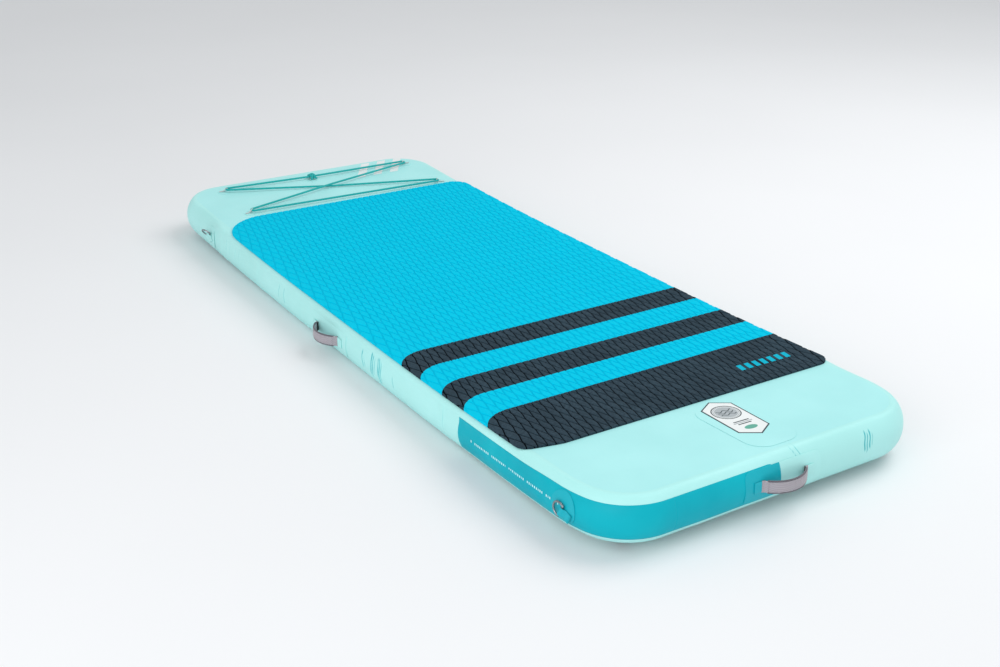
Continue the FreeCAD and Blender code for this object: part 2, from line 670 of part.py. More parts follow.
def make_ring(name):
    """A steel D-ring: a bar, two short legs and a half-round bend."""
    stand = RING_PLACES[name][4]
    label = name + "_ring"
    wire, bend, leg = "Dims.ring_wire / 2", "Dims.ring_bend_radius", "Dims.ring_leg"
    pieces = []

    def rod(suffix, length, base, turn, side=None):
        item = doc.addObject("Part::Cylinder", label + suffix)
        item.setExpression("Radius", wire)
        item.setExpression("Height", length)
        item.Placement = FreeCAD.Placement(V(0, 0, 0), turn)
        if base:
            item.setExpression("Placement.Base.y", base)
        pieces.append(item)

    rod("_bar", "2 * " + bend, "-" + bend, FreeCAD.Rotation(V(1, 0, 0), -90))
    for suffix, sign in (("_leg_a", ""), ("_leg_b", "-")):
        rod(suffix, leg, sign + bend, FreeCAD.Rotation())
        corner = doc.addObject("Part::Sphere", label + suffix + "_corner")
        corner.setExpression("Radius", wire)
        corner.setExpression("Placement.Base.y", sign + bend)
        pieces.append(corner)
    curve = doc.addObject("Part::Torus", label + "_bend")
    curve.setExpression("Radius1", bend)
    curve.setExpression("Radius2", wire)
    curve.Angle3 = 180
    curve.Placement = FreeCAD.Placement(V(0, 0, 0), FreeCAD.Rotation(V(1, 1, 1), 120))
    curve.setExpression("Placement.Base.z", leg)
    pieces.append(curve)
    ring = doc.addObject("Part::MultiFuse", label)
    ring.Shapes = pieces
    ring.Refine = True
    swing = FreeCAD.Placement(V(0, 0, 0), FreeCAD.Rotation(V(0, 1, 0), stand))
    ring.Placement = ring_frame(name).multiply(swing)
    return keep(ring, label)


def make_ring_tabs():
    """Webbing tabs folded round the rings' bars and sewn to their patches."""
    thick, width, length = dim("tab_thickness"), dim("tab_width"), dim("tab_length")
    inner = dim("ring_wire") / 2 + dim("tab_clearance")
    outer = inner + thick
    sewn = dim("ring_standoff") - dim("band_thickness") - dim("patch_thickness")
    tabs = []
    for name in RING_PLACES:
        fold = Part.makeCylinder(outer, width, V(0, -width / 2, 0), V(0, 1, 0))
        flat = Part.makeBox(2 * thick, width, length, V(-sewn + 0.05, -width / 2, -length))
        hole = Part.makeCylinder(inner, width + 2, V(0, -width / 2 - 1, 0), V(0, 1, 0))
        tab = fold.fuse(flat).cut(hole).removeSplitter().Solids[0]
        tabs.append(placed(tab, ring_frame(name)))
    feature("ring_tabs", Part.makeCompound(tabs))


# ---------------------------------------------------------------- carry handles

def handle_frame(name):
    """Placement of the centre of a handle's bow, level with the rail's middle."""
    back = dim("band_thickness") + dim("patch_thickness") + dim("handle_reach") - dim("handle_radius")
    return HANDLE_PLACES[name].multiply(FreeCAD.Placement(V(back, 0, 0), FreeCAD.Rotation()))


def make_handle(name):
    """A bowed webbing strap in a padded sleeve."""
    bow = "Dims.handle_radius"
    strap = rectangle(bow + " - Dims.strap_thickness / 2", bow + " + Dims.strap_thickness / 2",
                      "-Dims.strap_width / 2", "Dims.strap_width / 2")
    turned = turned_body(name + "_handle_strap", [strap], handle_frame(name),
                         "2 * Dims.foot_end_angle")
    end, far = "Dims.strap_end", "Dims.handle_radius"
    trim = closed_sketch(turned, name + "_strap_ends", "XY_Plane",
                         [("0", end), (far, end), (far, far), ("0", far)],
                         [("0", "-" + far), (far, "-" + far), (far, "-" + end), ("0", "-" + end)])
    ends = turned.newObject("PartDesign::Pocket", name + "_strap_ends_cut")
    ends.Profile = trim
    ends.Type = 1
    ends.Midplane = True
    outside = rectangle(bow + " - Dims.sleeve_thickness / 2", bow + " + Dims.sleeve_thickness / 2",
                        "-Dims.sleeve_width / 2", "Dims.sleeve_width / 2")
    inside = rectangle(bow + " - Dims.strap_thickness / 2 - 0.1",
                       bow + " + Dims.strap_thickness / 2 + 0.1",
                       "-Dims.strap_width / 2 - 0.1", "Dims.strap_width / 2 + 0.1")
    turned_body(name + "_handle_sleeve", [outside, inside], handle_frame(name),
                "2 * Dims.sleeve_half_angle")


def make_handle_feet():
    """The sewn ends of the handle straps, flat on their patches."""
    radius, thick, width = dim("handle_radius"), dim("strap_thickness"), dim("strap_width")
    end = dim("foot_end_angle")
    begin = end - 12
    near = dim("strap_end") + 2 * dim("running_clearance")
    window = Part.makeBox(2 * radius, 2 * near, 2 * width, V(0, -near, -width))
    feet = []
    for name, place in HANDLE_PLACES.items():
        for way in (-1, 1):
            corners = [V(radius - thick / 2, 0, -width / 2), V(radius + thick / 2, 0, -width / 2),
                       V(radius + thick / 2, 0, width / 2), V(radius - thick / 2, 0, width / 2)]
            face = Part.Face(Part.makePolygon(corners + corners[:1]))
            face.rotate(V(0, 0, 0), UP, way * begin)
            rise = face.revolve(V(0, 0, 0), UP, way * (end - begin)).cut(window)
            rise.Placement = handle_frame(name).multiply(rise.Placement)
            reach = radius * math.sin(math.radians(end)) - 2
            low = dim("band_thickness") + dim("patch_thickness") + 0.05
            flat = Part.makeBox(thick, dim("foot_length"), width, V(low, 0, -width / 2))
            flat.translate(V(0, reach if way > 0 else -reach - dim("foot_length"), 0))
            flat = placed(flat, place)
            feet.append(rise.fuse(flat).removeSplitter().Solids[0])
    feature("handle_feet", Part.makeCompound(feet))


# ---------------------------------------------------------------- inflation valve

def valve_frame():
    """The valve's axis on the nose end, with local Z pointing out of the board."""
    out = FreeCAD.Placement(V(0, 0, 0), FreeCAD.Rotation(V(0, 1, 0), 90))
    return end_rail_frame(NOSE, dim("valve_x")).multiply(out)


def make_valve():
    frame = valve_frame()
    throat, barrel, flange = ("Dims.valve_throat_radius", "Dims.valve_barrel_radius",
                              "Dims.valve_flange_radius")
    depth, guide, stem = "-Dims.valve_depth", "Dims.valve_guide", "Dims.valve_stem_radius"
    bore = stem + " + Dims.running_clearance / 3"
    body = turned_body("valve_body", [[
        (throat, "Dims.valve_flange"), (flange, "Dims.valve_flange"), (flange, "-Dims.valve_seat"),
        (barrel, "-Dims.valve_seat"), (barrel, depth), (throat, depth),
        (throat, "-Dims.guide_level - " + guide), (bore, "-Dims.guide_level - " + guide),
        (bore, "-Dims.guide_level"), (throat, "-Dims.guide_level"),
    ]], frame)
    doc.recompute()
    solid_volume = body.Shape.Volume
    sketch = body.newObject("Sketcher::SketchObject", "valve_port")
    sketch.AttachmentSupport = [(origin_plane(body, "XY_Plane"), "")]
    sketch.MapMode = "FlatFace"
    centre = (number(bore) + dim("valve_throat_radius")) / 2
    sketch.addGeometry(Part.Circle(V(centre, 0, 0), UP, dim("port_radius")), False)
    radius = sketch.addConstraint(Sketcher.Constraint("Radius", 0, dim("port_radius")))
    sketch.setExpression("Constraints[%d]" % radius, "Dims.port_radius")
    across = sketch.addConstraint(Sketcher.Constraint("DistanceX", -1, 1, 0, 3, centre))
    sketch.setExpression("Constraints[%d]" % across,
                         "(" + bore + " + Dims.valve_throat_radius) / 2")
    sketch.addConstraint(Sketcher.Constraint("PointOnObject", 0, 3, -1))
    ports = body.newObject("PartDesign::Pocket", "valve_port_cut")
    ports.Profile = sketch
    ports.Type = 1
    ports.Reversed = False
    doc.recompute()
    pattern = body.newObject("PartDesign::PolarPattern", "valve_ports")
    pattern.Originals = [ports]
    pattern.Axis = (sketch, ["N_Axis"])
    pattern.Angle = 360
    pattern.Occurrences = 4
    body.Tip = pattern
    doc.recompute()
    one_port = math.pi * dim("port_radius") ** 2 * dim("valve_guide")
    print("valve ports cut: %.1f mm3, wanted %.1f mm3"
          % (solid_volume - body.Shape.Volume, 4 * one_port))

    turned_body("valve_nut", [rectangle(
        barrel + " + Dims.running_clearance / 3", "Dims.valve_nut_radius",
        "-Dims.valve_seat - Dims.valve_nut", "-Dims.valve_seat - 0.05")], frame)
    disc_top = depth + " - 1.4"
    head_low, head_top = "-Dims.head_level - 2", "-Dims.head_level"
    turned_body("valve_poppet", [[
        ("0", disc_top + " - Dims.valve_disc"), ("Dims.valve_disc_radius", disc_top + " - Dims.valve_disc"),
        ("Dims.valve_disc_radius", disc_top), (stem, disc_top), (stem, head_low),
        ("Dims.spring_radius + 1.5", head_low), ("Dims.spring_radius + 1.5", head_top),
        ("0", head_top),
    ]], frame)
    seal = doc.addObject("Part::Torus", "valve_seal")
    seal.setExpression("Radius1", "(" + throat + " + " + barrel + ") / 2")
    seal.setExpression("Radius2", "Dims.seal_wire / 2")
    seal.Placement = frame.multiply(FreeCAD.Placement(V(0, 0, number(depth + " - 0.7")),
                                                      FreeCAD.Rotation()))
    keep(seal, "valve_seal")
    low, top = -dim("guide_level") + 0.1, -dim("head_level") - 2.1
    wire = dim("spring_wire")
    mean = dim("spring_radius") - 1
    coil = Part.makeHelix((top - low - 2 * wire) / 4, top - low - 2 * wire, mean)
    corners = [V(mean - wire, 0, -wire), V(mean + wire, 0, -wire), V(mean + wire, 0, wire),
               V(mean - wire, 0, wire)]
    spring = coil.makePipeShell([Part.makePolygon(corners + corners[:1])], True, True)
    spring.translate(V(0, 0, low + wire))
    feature("valve_spring", placed(spring, frame))

    rim, inside = "Dims.cap_radius", throat + " - Dims.running_clearance"
    under = "Dims.valve_flange + Dims.tether_thickness + 0.4"
    turned_body("valve_cap", [[
        ("0", under + " + Dims.cap_height"), (rim + " - 1", under + " + Dims.cap_height"),
        (rim, under + " + Dims.cap_height - 1"), (rim, under),
        (inside, under), (inside, "-Dims.cap_plug"), (inside + " - Dims.cap_wall", "-Dims.cap_plug"),
        (inside + " - Dims.cap_wall", under), ("0", under),
    ]], frame)
    eye, strap = dim("tether_eye_radius"), dim("tether_thickness")
    level = dim("valve_flange") + 0.15
    collar = Part.makeCylinder(dim("cap_radius"), strap, V(0, 0, level))
    tail = Part.makeBox(12, 8, strap, V(dim("cap_radius") - 2, -4, level))
    hole = Part.makeCylinder(eye, strap + 2, V(0, 0, level - 1))
    tether = collar.fuse(tail).cut(hole).removeSplitter().Solids[0]
    feature("valve_cap_tether", placed(tether, frame))


# ---------------------------------------------------------------- label

def make_label():
    frame = station(dim("label_y")).multiply(FreeCAD.Placement(
        V(dim("label_x"), 0, dim("board_thickness")), FreeCAD.Rotation()))
    base = rounded_block(dim("label_base_length"), dim("label_base_width"),
                         dim("label_base_corner"), dim("label_thickness"))
    lower = FreeCAD.Placement(V(0, dim("label_base_shift"), 0.2), FreeCAD.Rotation())
    feature("label_backing", placed(base, frame.multiply(lower)))
    body = doc.addObject("PartDesign::Body", "label")
    half, reach = "Dims.label_width / 2", "Dims.label_length / 2"
    shoulder = reach + " - Dims.label_shoulder"
    sketch = closed_sketch(body, "label_outline", "XY_Plane", [
        ("0", reach), ("-" + half, shoulder), ("-" + half, "-" + reach + " + Dims.label_shoulder"),
        ("0", "-" + reach), (half, "-" + reach + " + Dims.label_shoulder"), (half, shoulder)])
    plate = body.newObject("PartDesign::Pad", "label_plate")
    plate.Profile = sketch
    plate.setExpression("Length", "Dims.label_thickness")
    upper = FreeCAD.Placement(V(0, 0, 0.25 + dim("label_thickness")),
                              FreeCAD.Rotation(UP, dim("label_turn")))
    body.Placement = frame.multiply(upper)
    keep(body, "label")


doc.recompute()
make_hull()
make_yarns()
make_band()
make_patches()
make_pad()
make_bungee()
make_under_loops()
make_label()
for ring in RING_PLACES:
    make_ring(ring)
make_ring_tabs()
for handle in HANDLE_PLACES:
    make_handle(handle)
make_handle_feet()
make_valve()
doc.recompute()

for item in doc.Objects:
    if "Invalid" in item.State or "Error" in item.State:
        raise RuntimeError("%s could not be computed" % item.Name)
for item in SUB_PARTS:
    shape = item.Shape
    if shape.isNull() or not shape.isValid() or not shape.Solids:
        raise RuntimeError("%s is not a valid solid" % item.Label)
    print("%-24s %3d solids %9.0f mm3" % (item.Label, len(shape.Solids), shape.Volume))

# the axes that the moving pieces turn about
for ring, place in RING_PLACES.items():
    frame = ring_frame(ring)
    print("axis", ring, tuple(frame.Base), tuple(frame.Rotation.multVec(V(0, 1, 0))), place[4])
chord = dim("handle_radius") * math.cos(math.asin(dim("strap_end") / dim("handle_radius")))
for handle in HANDLE_PLACES:
    frame = handle_frame(handle)
    print("axis", handle, tuple(frame.multVec(V(chord, 0, 0))),
          tuple(frame.Rotation.multVec(V(0, 1, 0))))
frame = valve_frame()
print("axis valve", tuple(frame.Base), tuple(frame.Rotation.multVec(UP)))

os.makedirs("parts", exist_ok=True)
for item in SUB_PARTS:
    item.Shape.exportStep("parts/%s.step" % item.Label)
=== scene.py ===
import math

import bmesh
import bpy
import numpy as np
from mathutils import Matrix, Vector


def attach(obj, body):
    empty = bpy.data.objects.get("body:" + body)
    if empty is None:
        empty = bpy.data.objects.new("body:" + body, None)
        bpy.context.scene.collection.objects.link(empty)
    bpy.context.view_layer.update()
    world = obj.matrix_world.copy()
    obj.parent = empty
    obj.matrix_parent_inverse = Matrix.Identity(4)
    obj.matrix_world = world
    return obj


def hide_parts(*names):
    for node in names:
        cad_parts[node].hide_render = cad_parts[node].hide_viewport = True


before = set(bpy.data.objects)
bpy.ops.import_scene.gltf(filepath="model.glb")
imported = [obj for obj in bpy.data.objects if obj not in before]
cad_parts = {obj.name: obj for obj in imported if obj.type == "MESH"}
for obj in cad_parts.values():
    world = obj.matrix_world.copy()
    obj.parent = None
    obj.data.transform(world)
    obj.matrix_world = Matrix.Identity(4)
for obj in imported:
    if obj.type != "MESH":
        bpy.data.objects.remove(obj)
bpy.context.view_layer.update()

# ------------------------------------------------------------------ board geometry (metres)
HALF_LENGTH, HALF_WIDTH, THICK = 1.141, 0.429, 0.102
HALF_THICK = THICK / 2
BULGE = 0.0218
RAIL_RADIUS = (HALF_THICK ** 2 + BULGE ** 2) / (2 * BULGE)
RAIL_ANGLE = math.asin(HALF_THICK / RAIL_RADIUS)
FLAT, ROCKER = 0.2095, 17.1
NOSE_RADIUS, TAIL_RADIUS = 0.130, 0.133
BLEND_RADIUS, BLEND_ANGLE = 0.340, math.radians(14.4)
TAIL_REACH = BLEND_RADIUS * math.sin(BLEND_ANGLE) + TAIL_RADIUS * (1 - math.sin(BLEND_ANGLE))
TAIL_INSET = BLEND_RADIUS * (1 - math.cos(BLEND_ANGLE)) + TAIL_RADIUS * math.cos(BLEND_ANGLE)
TAIL_STATION = HALF_LENGTH - TAIL_REACH
NOSE_STATION = HALF_LENGTH - NOSE_RADIUS

# foam pad
PAD_HALF, PAD_TAIL, PAD_NOSE, PAD_THICK = 0.417, -0.8555, 0.804, 0.0055
STRIPES = [-0.290, -0.379, -0.474, -0.567, -0.663]
SWEEP_START, SWEEP_RADIUS, SWEEP_ANGLE = 0.078, 0.090, math.radians(60)
CELL_W, CELL_HALF = 0.01925, 0.0416


def lift(points):
    """Flat-board points (n, 3) carried to the board with its ends raised."""
    points = np.asarray(points, float)
    flat = points.reshape(-1, 3)
    y = flat[:, 1]
    end = np.where(y >= 0, 1.0, -1.0)
    last = np.where(y >= 0, NOSE_STATION, TAIL_STATION)
    reach = np.abs(y)
    slope = np.clip(np.minimum(reach, last) - FLAT, 0, None) / ROCKER
    extra = np.clip(reach - last, 0, None)
    radius = ROCKER + HALF_THICK - flat[:, 2]
    out = flat.copy()
    bent = reach > FLAT
    out[:, 1] = np.where(bent, end * (FLAT + radius * np.sin(slope) + extra * np.cos(slope)), y)
    out[:, 2] = np.where(bent, ROCKER + HALF_THICK - radius * np.cos(slope)
                         + extra * np.sin(slope), flat[:, 2])
    return out.reshape(points.shape)


# stretches of the rail with sharp folds: axis, from, to
FOLDED = [(1, 0.140, 0.262), (1, 0.290, 0.356), (1, 0.468, 0.560), (1, 0.600, 0.780),
          (0, 0.036, 0.084), (0, 0.212, 0.275)]


def outline_points(step):
    """The flat outline at its widest, anticlockwise from the tail's middle: points, normals."""
    points, normals = [], []

    def line(start, end, normal):
        length = np.hypot(end[0] - start[0], end[1] - start[1])
        axis = 1 if normal[0] else 0
        done = 0.0
        while done < length - step * 0.3:
            share = done / length
            point = [a + (b - a) * share for a, b in zip(start, end)]
            points.append(point)
            normals.append(normal)
            fine = any(kind == axis and low < abs(point[axis]) < high for kind, low, high in FOLDED)
            done += step / 4 if fine else step

    def arc(centre, radius, first, last):
        count = max(3, int(abs(last - first) * radius / step))
        for k in range(count):
            angle = first + (last - first) * k / count
            normal = [math.cos(angle), math.sin(angle)]
            points.append([c + radius * n for c, n in zip(centre, normal)])
            normals.append(normal)

    tail_x = HALF_WIDTH - TAIL_INSET
    tail_corner = (tail_x, -HALF_LENGTH + TAIL_RADIUS)
    blend_centre = (HALF_WIDTH - BLEND_RADIUS, -TAIL_STATION)
    nose_corner = (HALF_WIDTH - NOSE_RADIUS, NOSE_STATION)
    quarter = math.pi / 2
    line((0, -HALF_LENGTH), (tail_x, -HALF_LENGTH), (0, -1))
    arc(tail_corner, TAIL_RADIUS, -quarter, -BLEND_ANGLE)
    arc(blend_centre, BLEND_RADIUS, -BLEND_ANGLE, 0)
    line((HALF_WIDTH, -TAIL_STATION), (HALF_WIDTH, NOSE_STATION), (1, 0))
    arc(nose_corner, NOSE_RADIUS, 0, quarter)
    line((nose_corner[0], HALF_LENGTH), (0, HALF_LENGTH), (0, 1))
    right_side = list(zip(points, normals))[:0:-1]
    for (x, y), (nx, ny) in [((0, HALF_LENGTH), (0, 1))] + right_side:
        points.append([-x, y])
        normals.append([-nx, ny])
    points, normals = np.array(points), np.array(normals, float)
    keep = [0]
    for k in range(1, len(points)):
        if np.hypot(*(points[k] - points[keep[-1]])) > step * 0.15:
            keep.append(k)
    return points[keep], normals[keep]


# ------------------------------------------------------------------ mesh helpers

def unit(vector):
    return vector / np.linalg.norm(vector)


def turns(count):
    """Angles evenly round a circle."""
    return np.linspace(0, 2 * math.pi, count, endpoint=False)


def distances(points):
    """How far along its line of points each one lies."""
    return np.concatenate([[0], np.cumsum(np.linalg.norm(np.diff(points, axis=0), axis=1))])


def flat_shaded(item):
    item.data.polygons.foreach_set("use_smooth", [False] * len(item.data.polygons))


def add(name, data):
    item = bpy.data.objects.new(name, data)
    bpy.context.scene.collection.objects.link(item)
    return item


def new_object(name, verts, faces, smooth=True):
    mesh = bpy.data.meshes.new(name)
    mesh.from_pydata([tuple(v) for v in verts], [], faces)
    mesh.update()
    if smooth:
        mesh.polygons.foreach_set("use_smooth", [True] * len(mesh.polygons))
    return add(name, mesh)


def plate(name, bottom, top):
    """A closed thin plate between two outlines with as many points, facets flat."""
    count = len(bottom)
    faces = [list(range(count))[::-1], [count + k for k in range(count)]]
    faces += [[k, (k + 1) % count, count + (k + 1) % count, count + k] for k in range(count)]
    item = new_object(name, np.concatenate([bottom, top]), faces, smooth=False)
    outward(item)
    return item


def grid_faces(rows, cols, wrap_rows=False, wrap_cols=False):
    r = np.arange(rows if wrap_rows else rows - 1)
    c = np.arange(cols if wrap_cols else cols - 1)
    rr, cc = np.meshgrid(r, c, indexing="ij")
    nr, nc = (rr + 1) % rows, (cc + 1) % cols
    quads = np.stack([rr * cols + cc, nr * cols + cc, nr * cols + nc, rr * cols + nc], -1)
    return quads.reshape(-1, 4).tolist()


def grid_object(name, grid, wrap_rows=False, wrap_cols=False, caps=False):
    rows, cols = grid.shape[:2]
    faces = grid_faces(rows, cols, wrap_rows, wrap_cols)
    if caps:
        faces.append(list(range(cols))[::-1])
        faces.append([(rows - 1) * cols + k for k in range(cols)])
    item = new_object(name, grid.reshape(-1, 3), faces)
    outward(item)
    return item


def outward(item):
    """Turns every face of a closed mesh outwards."""
    bm = bmesh.new()
    bm.from_mesh(item.data)
    bmesh.ops.recalc_face_normals(bm, faces=bm.faces)
    bm.to_mesh(item.data)
    bm.free()


def join(name, items):
    """One object made of several, in place."""
    bm = bmesh.new()
    for item in items:
        mesh = item.data.copy()
        mesh.transform(item.matrix_world)
        bm.from_mesh(mesh)
        bpy.data.meshes.remove(mesh)
        bpy.data.objects.remove(item)
    mesh = bpy.data.meshes.new(name)
    bm.to_mesh(mesh)
    bm.free()
    return add(name, mesh)


# ------------------------------------------------------------------ materials

class Shader:
    """A principled material with its node helpers."""

    def __init__(self, name, color, rough=0.5, sheen=0.0, metal=0.0, specular=0.5):
        self.mat = bpy.data.materials.new(name)
        self.mat.use_nodes = True
        self.tree = self.mat.node_tree
        self.bsdf = self.tree.nodes["Principled BSDF"]
        self.set("Base Color", (*color, 1))
        self.set("Roughness", rough)
        self.set("Metallic", metal)
        self.set("Specular IOR Level", specular)
        self.set("Sheen Weight", sheen)
        self.set("Sheen Roughness", 0.45)
        turn = self.node("ShaderNodeMapping")
        turn.inputs["Rotation"].default_value = (0.61, 0.37, 0.22)
        self.straight = self.node("ShaderNodeTexCoord").outputs["Object"]
        self.link(self.straight, turn.inputs["Vector"])
        self.coords = turn.outputs["Vector"]
        self.height = None

    def set(self, socket, value):
        self.bsdf.inputs[socket].default_value = value

    def node(self, kind, **values):
        item = self.tree.nodes.new(kind)
        for key, value in values.items():
            setattr(item, key, value)
        return item

    def link(self, out, into):
        self.tree.links.new(out, into)

    def noise(self, scale, detail=4.0, stretch=(1, 1, 1)):
        item = self.node("ShaderNodeTexNoise")
        item.inputs["Scale"].default_value = scale
        item.inputs["Detail"].default_value = detail
        mapping = self.node("ShaderNodeMapping")
        mapping.inputs["Scale"].default_value = stretch
        self.link(self.coords, mapping.inputs["Vector"])
        self.link(mapping.outputs["Vector"], item.inputs["Vector"])
        return item.outputs["Fac"]

    def math(self, operation, a, b=0.0):
        item = self.node("ShaderNodeMath", operation=operation)
        for socket, value in zip(item.inputs, (a, b)):
            if isinstance(value, (int, float)):
                socket.default_value = value
            else:
                self.link(value, socket)
        return item.outputs[0]

    def mix(self, factor, first, second):
        item = self.node("ShaderNodeMix", data_type="RGBA")
        self.link(factor, item.inputs[0])
        for socket, value in ((item.inputs[6], first), (item.inputs[7], second)):
            if isinstance(value, tuple):
                socket.default_value = (*value, 1)
            else:
                self.link(value, socket)
        return item.outputs[2]

    def range(self, value, low, high, to_low, to_high):
        item = self.node("ShaderNodeMapRange")
        self.link(value, item.inputs["Value"])
        for key, number in (("From Min", low), ("From Max", high), ("To Min", to_low),
                            ("To Max", to_high)):
            item.inputs[key].default_value = number
        return item.outputs["Result"]

    def axis(self, index):
        item = self.node("ShaderNodeSeparateXYZ")
        self.link(self.straight, item.inputs[0])
        return item.outputs[index]

    def bump(self, height, distance, strength=1.0):
        item = self.node("ShaderNodeBump")
        item.inputs["Distance"].default_value = distance
        item.inputs["Strength"].default_value = strength
        self.link(height, item.inputs["Height"])
        if self.height is not None:
            self.link(self.height, item.inputs["Normal"])
        self.height = item.outputs["Normal"]
        self.link(self.height, self.bsdf.inputs["Normal"])

    def color(self, out):
        self.link(out, self.bsdf.inputs["Base Color"])

    def rough(self, value, low, high):
        self.link(self.range(value, 0.3, 0.7, low, high), self.bsdf.inputs["Roughness"])


def rgb(red, green, blue):
    """Linear colour of an sRGB one given as 0-255."""
    return tuple(((c / 255 + 0.055) / 1.055) ** 2.4 if c > 10 else c / 255 / 12.92
                 for c in (red, green, blue))


def pvc(name, color, shade, rough=0.46, weave=True, fold=None, shine=0.35):
    """Coated PVC: a faint woven grain, slow colour drift, small scuffs and, where a fold colour is
    given, painted shade in the folds.
    """
    shader = Shader(name, color, rough, specular=shine)
    drift = shader.noise(5, 3)
    spots = shader.noise(160, 2)
    base = shader.mix(shader.range(drift, 0.35, 0.65, 0, 1), color, shade)
    base = shader.mix(shader.range(spots, 0.64, 0.74, 0, 0.25), base, shade)
    # painted shade: points deep in a fold are darkened towards the fold colour, standing in for the
    # shade that falls into the creases
    if fold:
        depth = shader.node("ShaderNodeAttribute", attribute_name="fold").outputs["Fac"]
        base = shader.mix(shader.range(depth, 0.1, 0.7, 0, 0.9), base, fold)
    shader.color(base)
    shader.rough(shader.noise(38, 5), rough - 0.05, rough + 0.09)
    if weave:
        warp, weft = (shader.math("SINE", shader.math("MULTIPLY", shader.axis(k), 4200))
                      for k in (0, 1))
        shader.bump(shader.math("MULTIPLY", warp, weft), 0.00004, 0.35)
    shader.bump(shader.noise(60, 4), 0.0003, 0.3)
    shader.bump(shader.noise(9, 2), 0.002, 0.25)
    return shader


def foam(name, color, shade, shine=0.12):
    """Closed-cell foam with a fine brushed texture."""
    shader = Shader(name, color, 0.8, specular=shine)
    drift = shader.noise(14, 3)
    cells = shader.node("ShaderNodeTexVoronoi")
    cells.inputs["Scale"].default_value = 1300
    shader.link(shader.coords, cells.inputs["Vector"])
    base = shader.mix(shader.range(drift, 0.3, 0.7, 0, 0.5), color, shade)
    base = shader.mix(shader.range(cells.outputs["Distance"], 0.1, 0.7, 0.0, 0.3), base, shade)
    base = shader.mix(shader.range(shader.noise(230, 2), 0.4, 0.62, 0, 0.55), base, shade)
    shader.color(base)
    shader.rough(shader.noise(90, 4), 0.72, 0.88)
    shader.bump(cells.outputs["Distance"], 0.0001, 0.3)
    shader.bump(shader.noise(420, 3), 0.00015, 0.25)
    return shader


def woven(name, color, shade, pitch=0.0011, rough=0.8):
    """Webbing or cord: ribs across and fine threads along."""
    shader = Shader(name, color, rough, sheen=0.25, specular=0.3)
    ribs = shader.node("ShaderNodeTexWave", bands_direction="DIAGONAL")
    ribs.inputs["Scale"].default_value = 1 / pitch / 6.3
    ribs.inputs["Distortion"].default_value = 0.4
    shader.link(shader.coords, ribs.inputs["Vector"])
    cross = shader.node("ShaderNodeTexWave", bands_direction="Z")
    cross.inputs["Scale"].default_value = 1 / pitch / 7.5
    shader.link(shader.coords, cross.inputs["Vector"])
    weave = shader.math("MULTIPLY", ribs.outputs["Fac"], cross.outputs["Fac"])
    drift = shader.noise(200, 3)
    base = shader.mix(shader.range(weave, 0.1, 0.9, 0, 0.9), shade, color)
    base = shader.mix(shader.range(drift, 0.4, 0.7, 0, 0.35), base, shade)
    shader.color(base)
    shader.bump(weave, 0.0002, 0.6)
    return shader


MINT, MINT_SHADE = rgb(176, 239, 239), rgb(169, 233, 233)
SIDE, SIDE_SHADE = rgb(180, 240, 238), rgb(174, 235, 232)
# painted shade: the dark teal that the rail's folds are darkened to
PAINTED_FOLD_SHADE = rgb(40, 180, 190)
TEAL, TEAL_SHADE = rgb(0, 180, 196), rgb(0, 168, 186)
CYAN, CYAN_SHADE = rgb(0, 203, 234), rgb(0, 194, 226)
DARK, DARK_SHADE = rgb(58, 79, 92), rgb(30, 45, 55)

M = {
    "deck": pvc("pvc_deck", MINT, MINT_SHADE),
    "side": pvc("pvc_side", SIDE, SIDE_SHADE, fold=PAINTED_FOLD_SHADE),
    "under": pvc("pvc_underside", SIDE, SIDE_SHADE, 0.5),
    "band": pvc("pvc_band", TEAL, TEAL_SHADE, 0.5, shine=0.16),
    "cyan": foam("foam_cyan", CYAN, CYAN_SHADE, 0.04),
    "dark": foam("foam_dark", DARK, DARK_SHADE),
    # painted shade: the groove materials are darker than the pad's top foam, standing in for the
    # shade down in the grooves
    "cyan_groove": foam("foam_cyan_groove_shade", rgb(0, 194, 226), rgb(0, 186, 218), 0.03),
    "dark_groove": foam("foam_dark_groove_shade", rgb(6, 9, 14), rgb(3, 5, 8), 0.0),
    "black_web": woven("webbing_black", rgb(38, 40, 44), rgb(14, 15, 17)),
    "white_web": woven("webbing_white", rgb(235, 240, 240), rgb(190, 200, 200)),
    "sleeve": woven("sleeve_grey", rgb(196, 190, 196), rgb(158, 152, 160), 0.0008),
    "binding": woven("binding_grey", rgb(128, 124, 132), rgb(92, 90, 98), 0.0012),
    "thread": woven("sewing_thread", rgb(215, 215, 218), rgb(160, 160, 165), 0.0006),
    "cord": woven("bungee_braid", rgb(16, 200, 194), rgb(4, 160, 160), 0.0016, rough=0.65),
    "yarn": woven("stitch_yarn", rgb(235, 235, 228), rgb(200, 200, 190)),
    "print_dark": pvc("print_dark", rgb(52, 66, 74), rgb(44, 56, 64), 0.4, False),
    "print_grey": pvc("print_grey", rgb(176, 184, 188), rgb(160, 168, 172), 0.4, False),
    "print_green": pvc("print_green", rgb(96, 178, 158), rgb(84, 160, 142), 0.4, False),
    "print_white": pvc("print_white", rgb(240, 244, 244), rgb(230, 236, 236), 0.38, False),
    "print_pale": pvc("print_pale", rgb(206, 246, 248), rgb(190, 238, 242), 0.38, False),
    "print_cyan": foam("print_cyan", rgb(0, 186, 212), rgb(0, 168, 196)),
}


def steel():
    shader = Shader("steel_polished", rgb(206, 208, 210), 0.22, metal=1.0)
    streaks = shader.noise(220, 3, (1, 1, 6))
    shader.color(shader.mix(shader.range(streaks, 0.3, 0.7, 0, 1), rgb(168, 174, 178),
                            rgb(118, 126, 132)))
    shader.rough(streaks, 0.14, 0.3)
    shader.bump(shader.noise(900, 2), 0.00004, 0.4)
    return shader


def moulded(name, color, shade, rough=0.5):
    shader = Shader(name, color, rough)
    grain = shader.noise(700, 4)
    shader.color(shader.mix(shader.range(shader.noise(30, 3), 0.35, 0.65, 0, 1), color, shade))
    shader.rough(grain, rough - 0.08, rough + 0.12)
    shader.bump(grain, 0.0001, 0.5)
    return shader


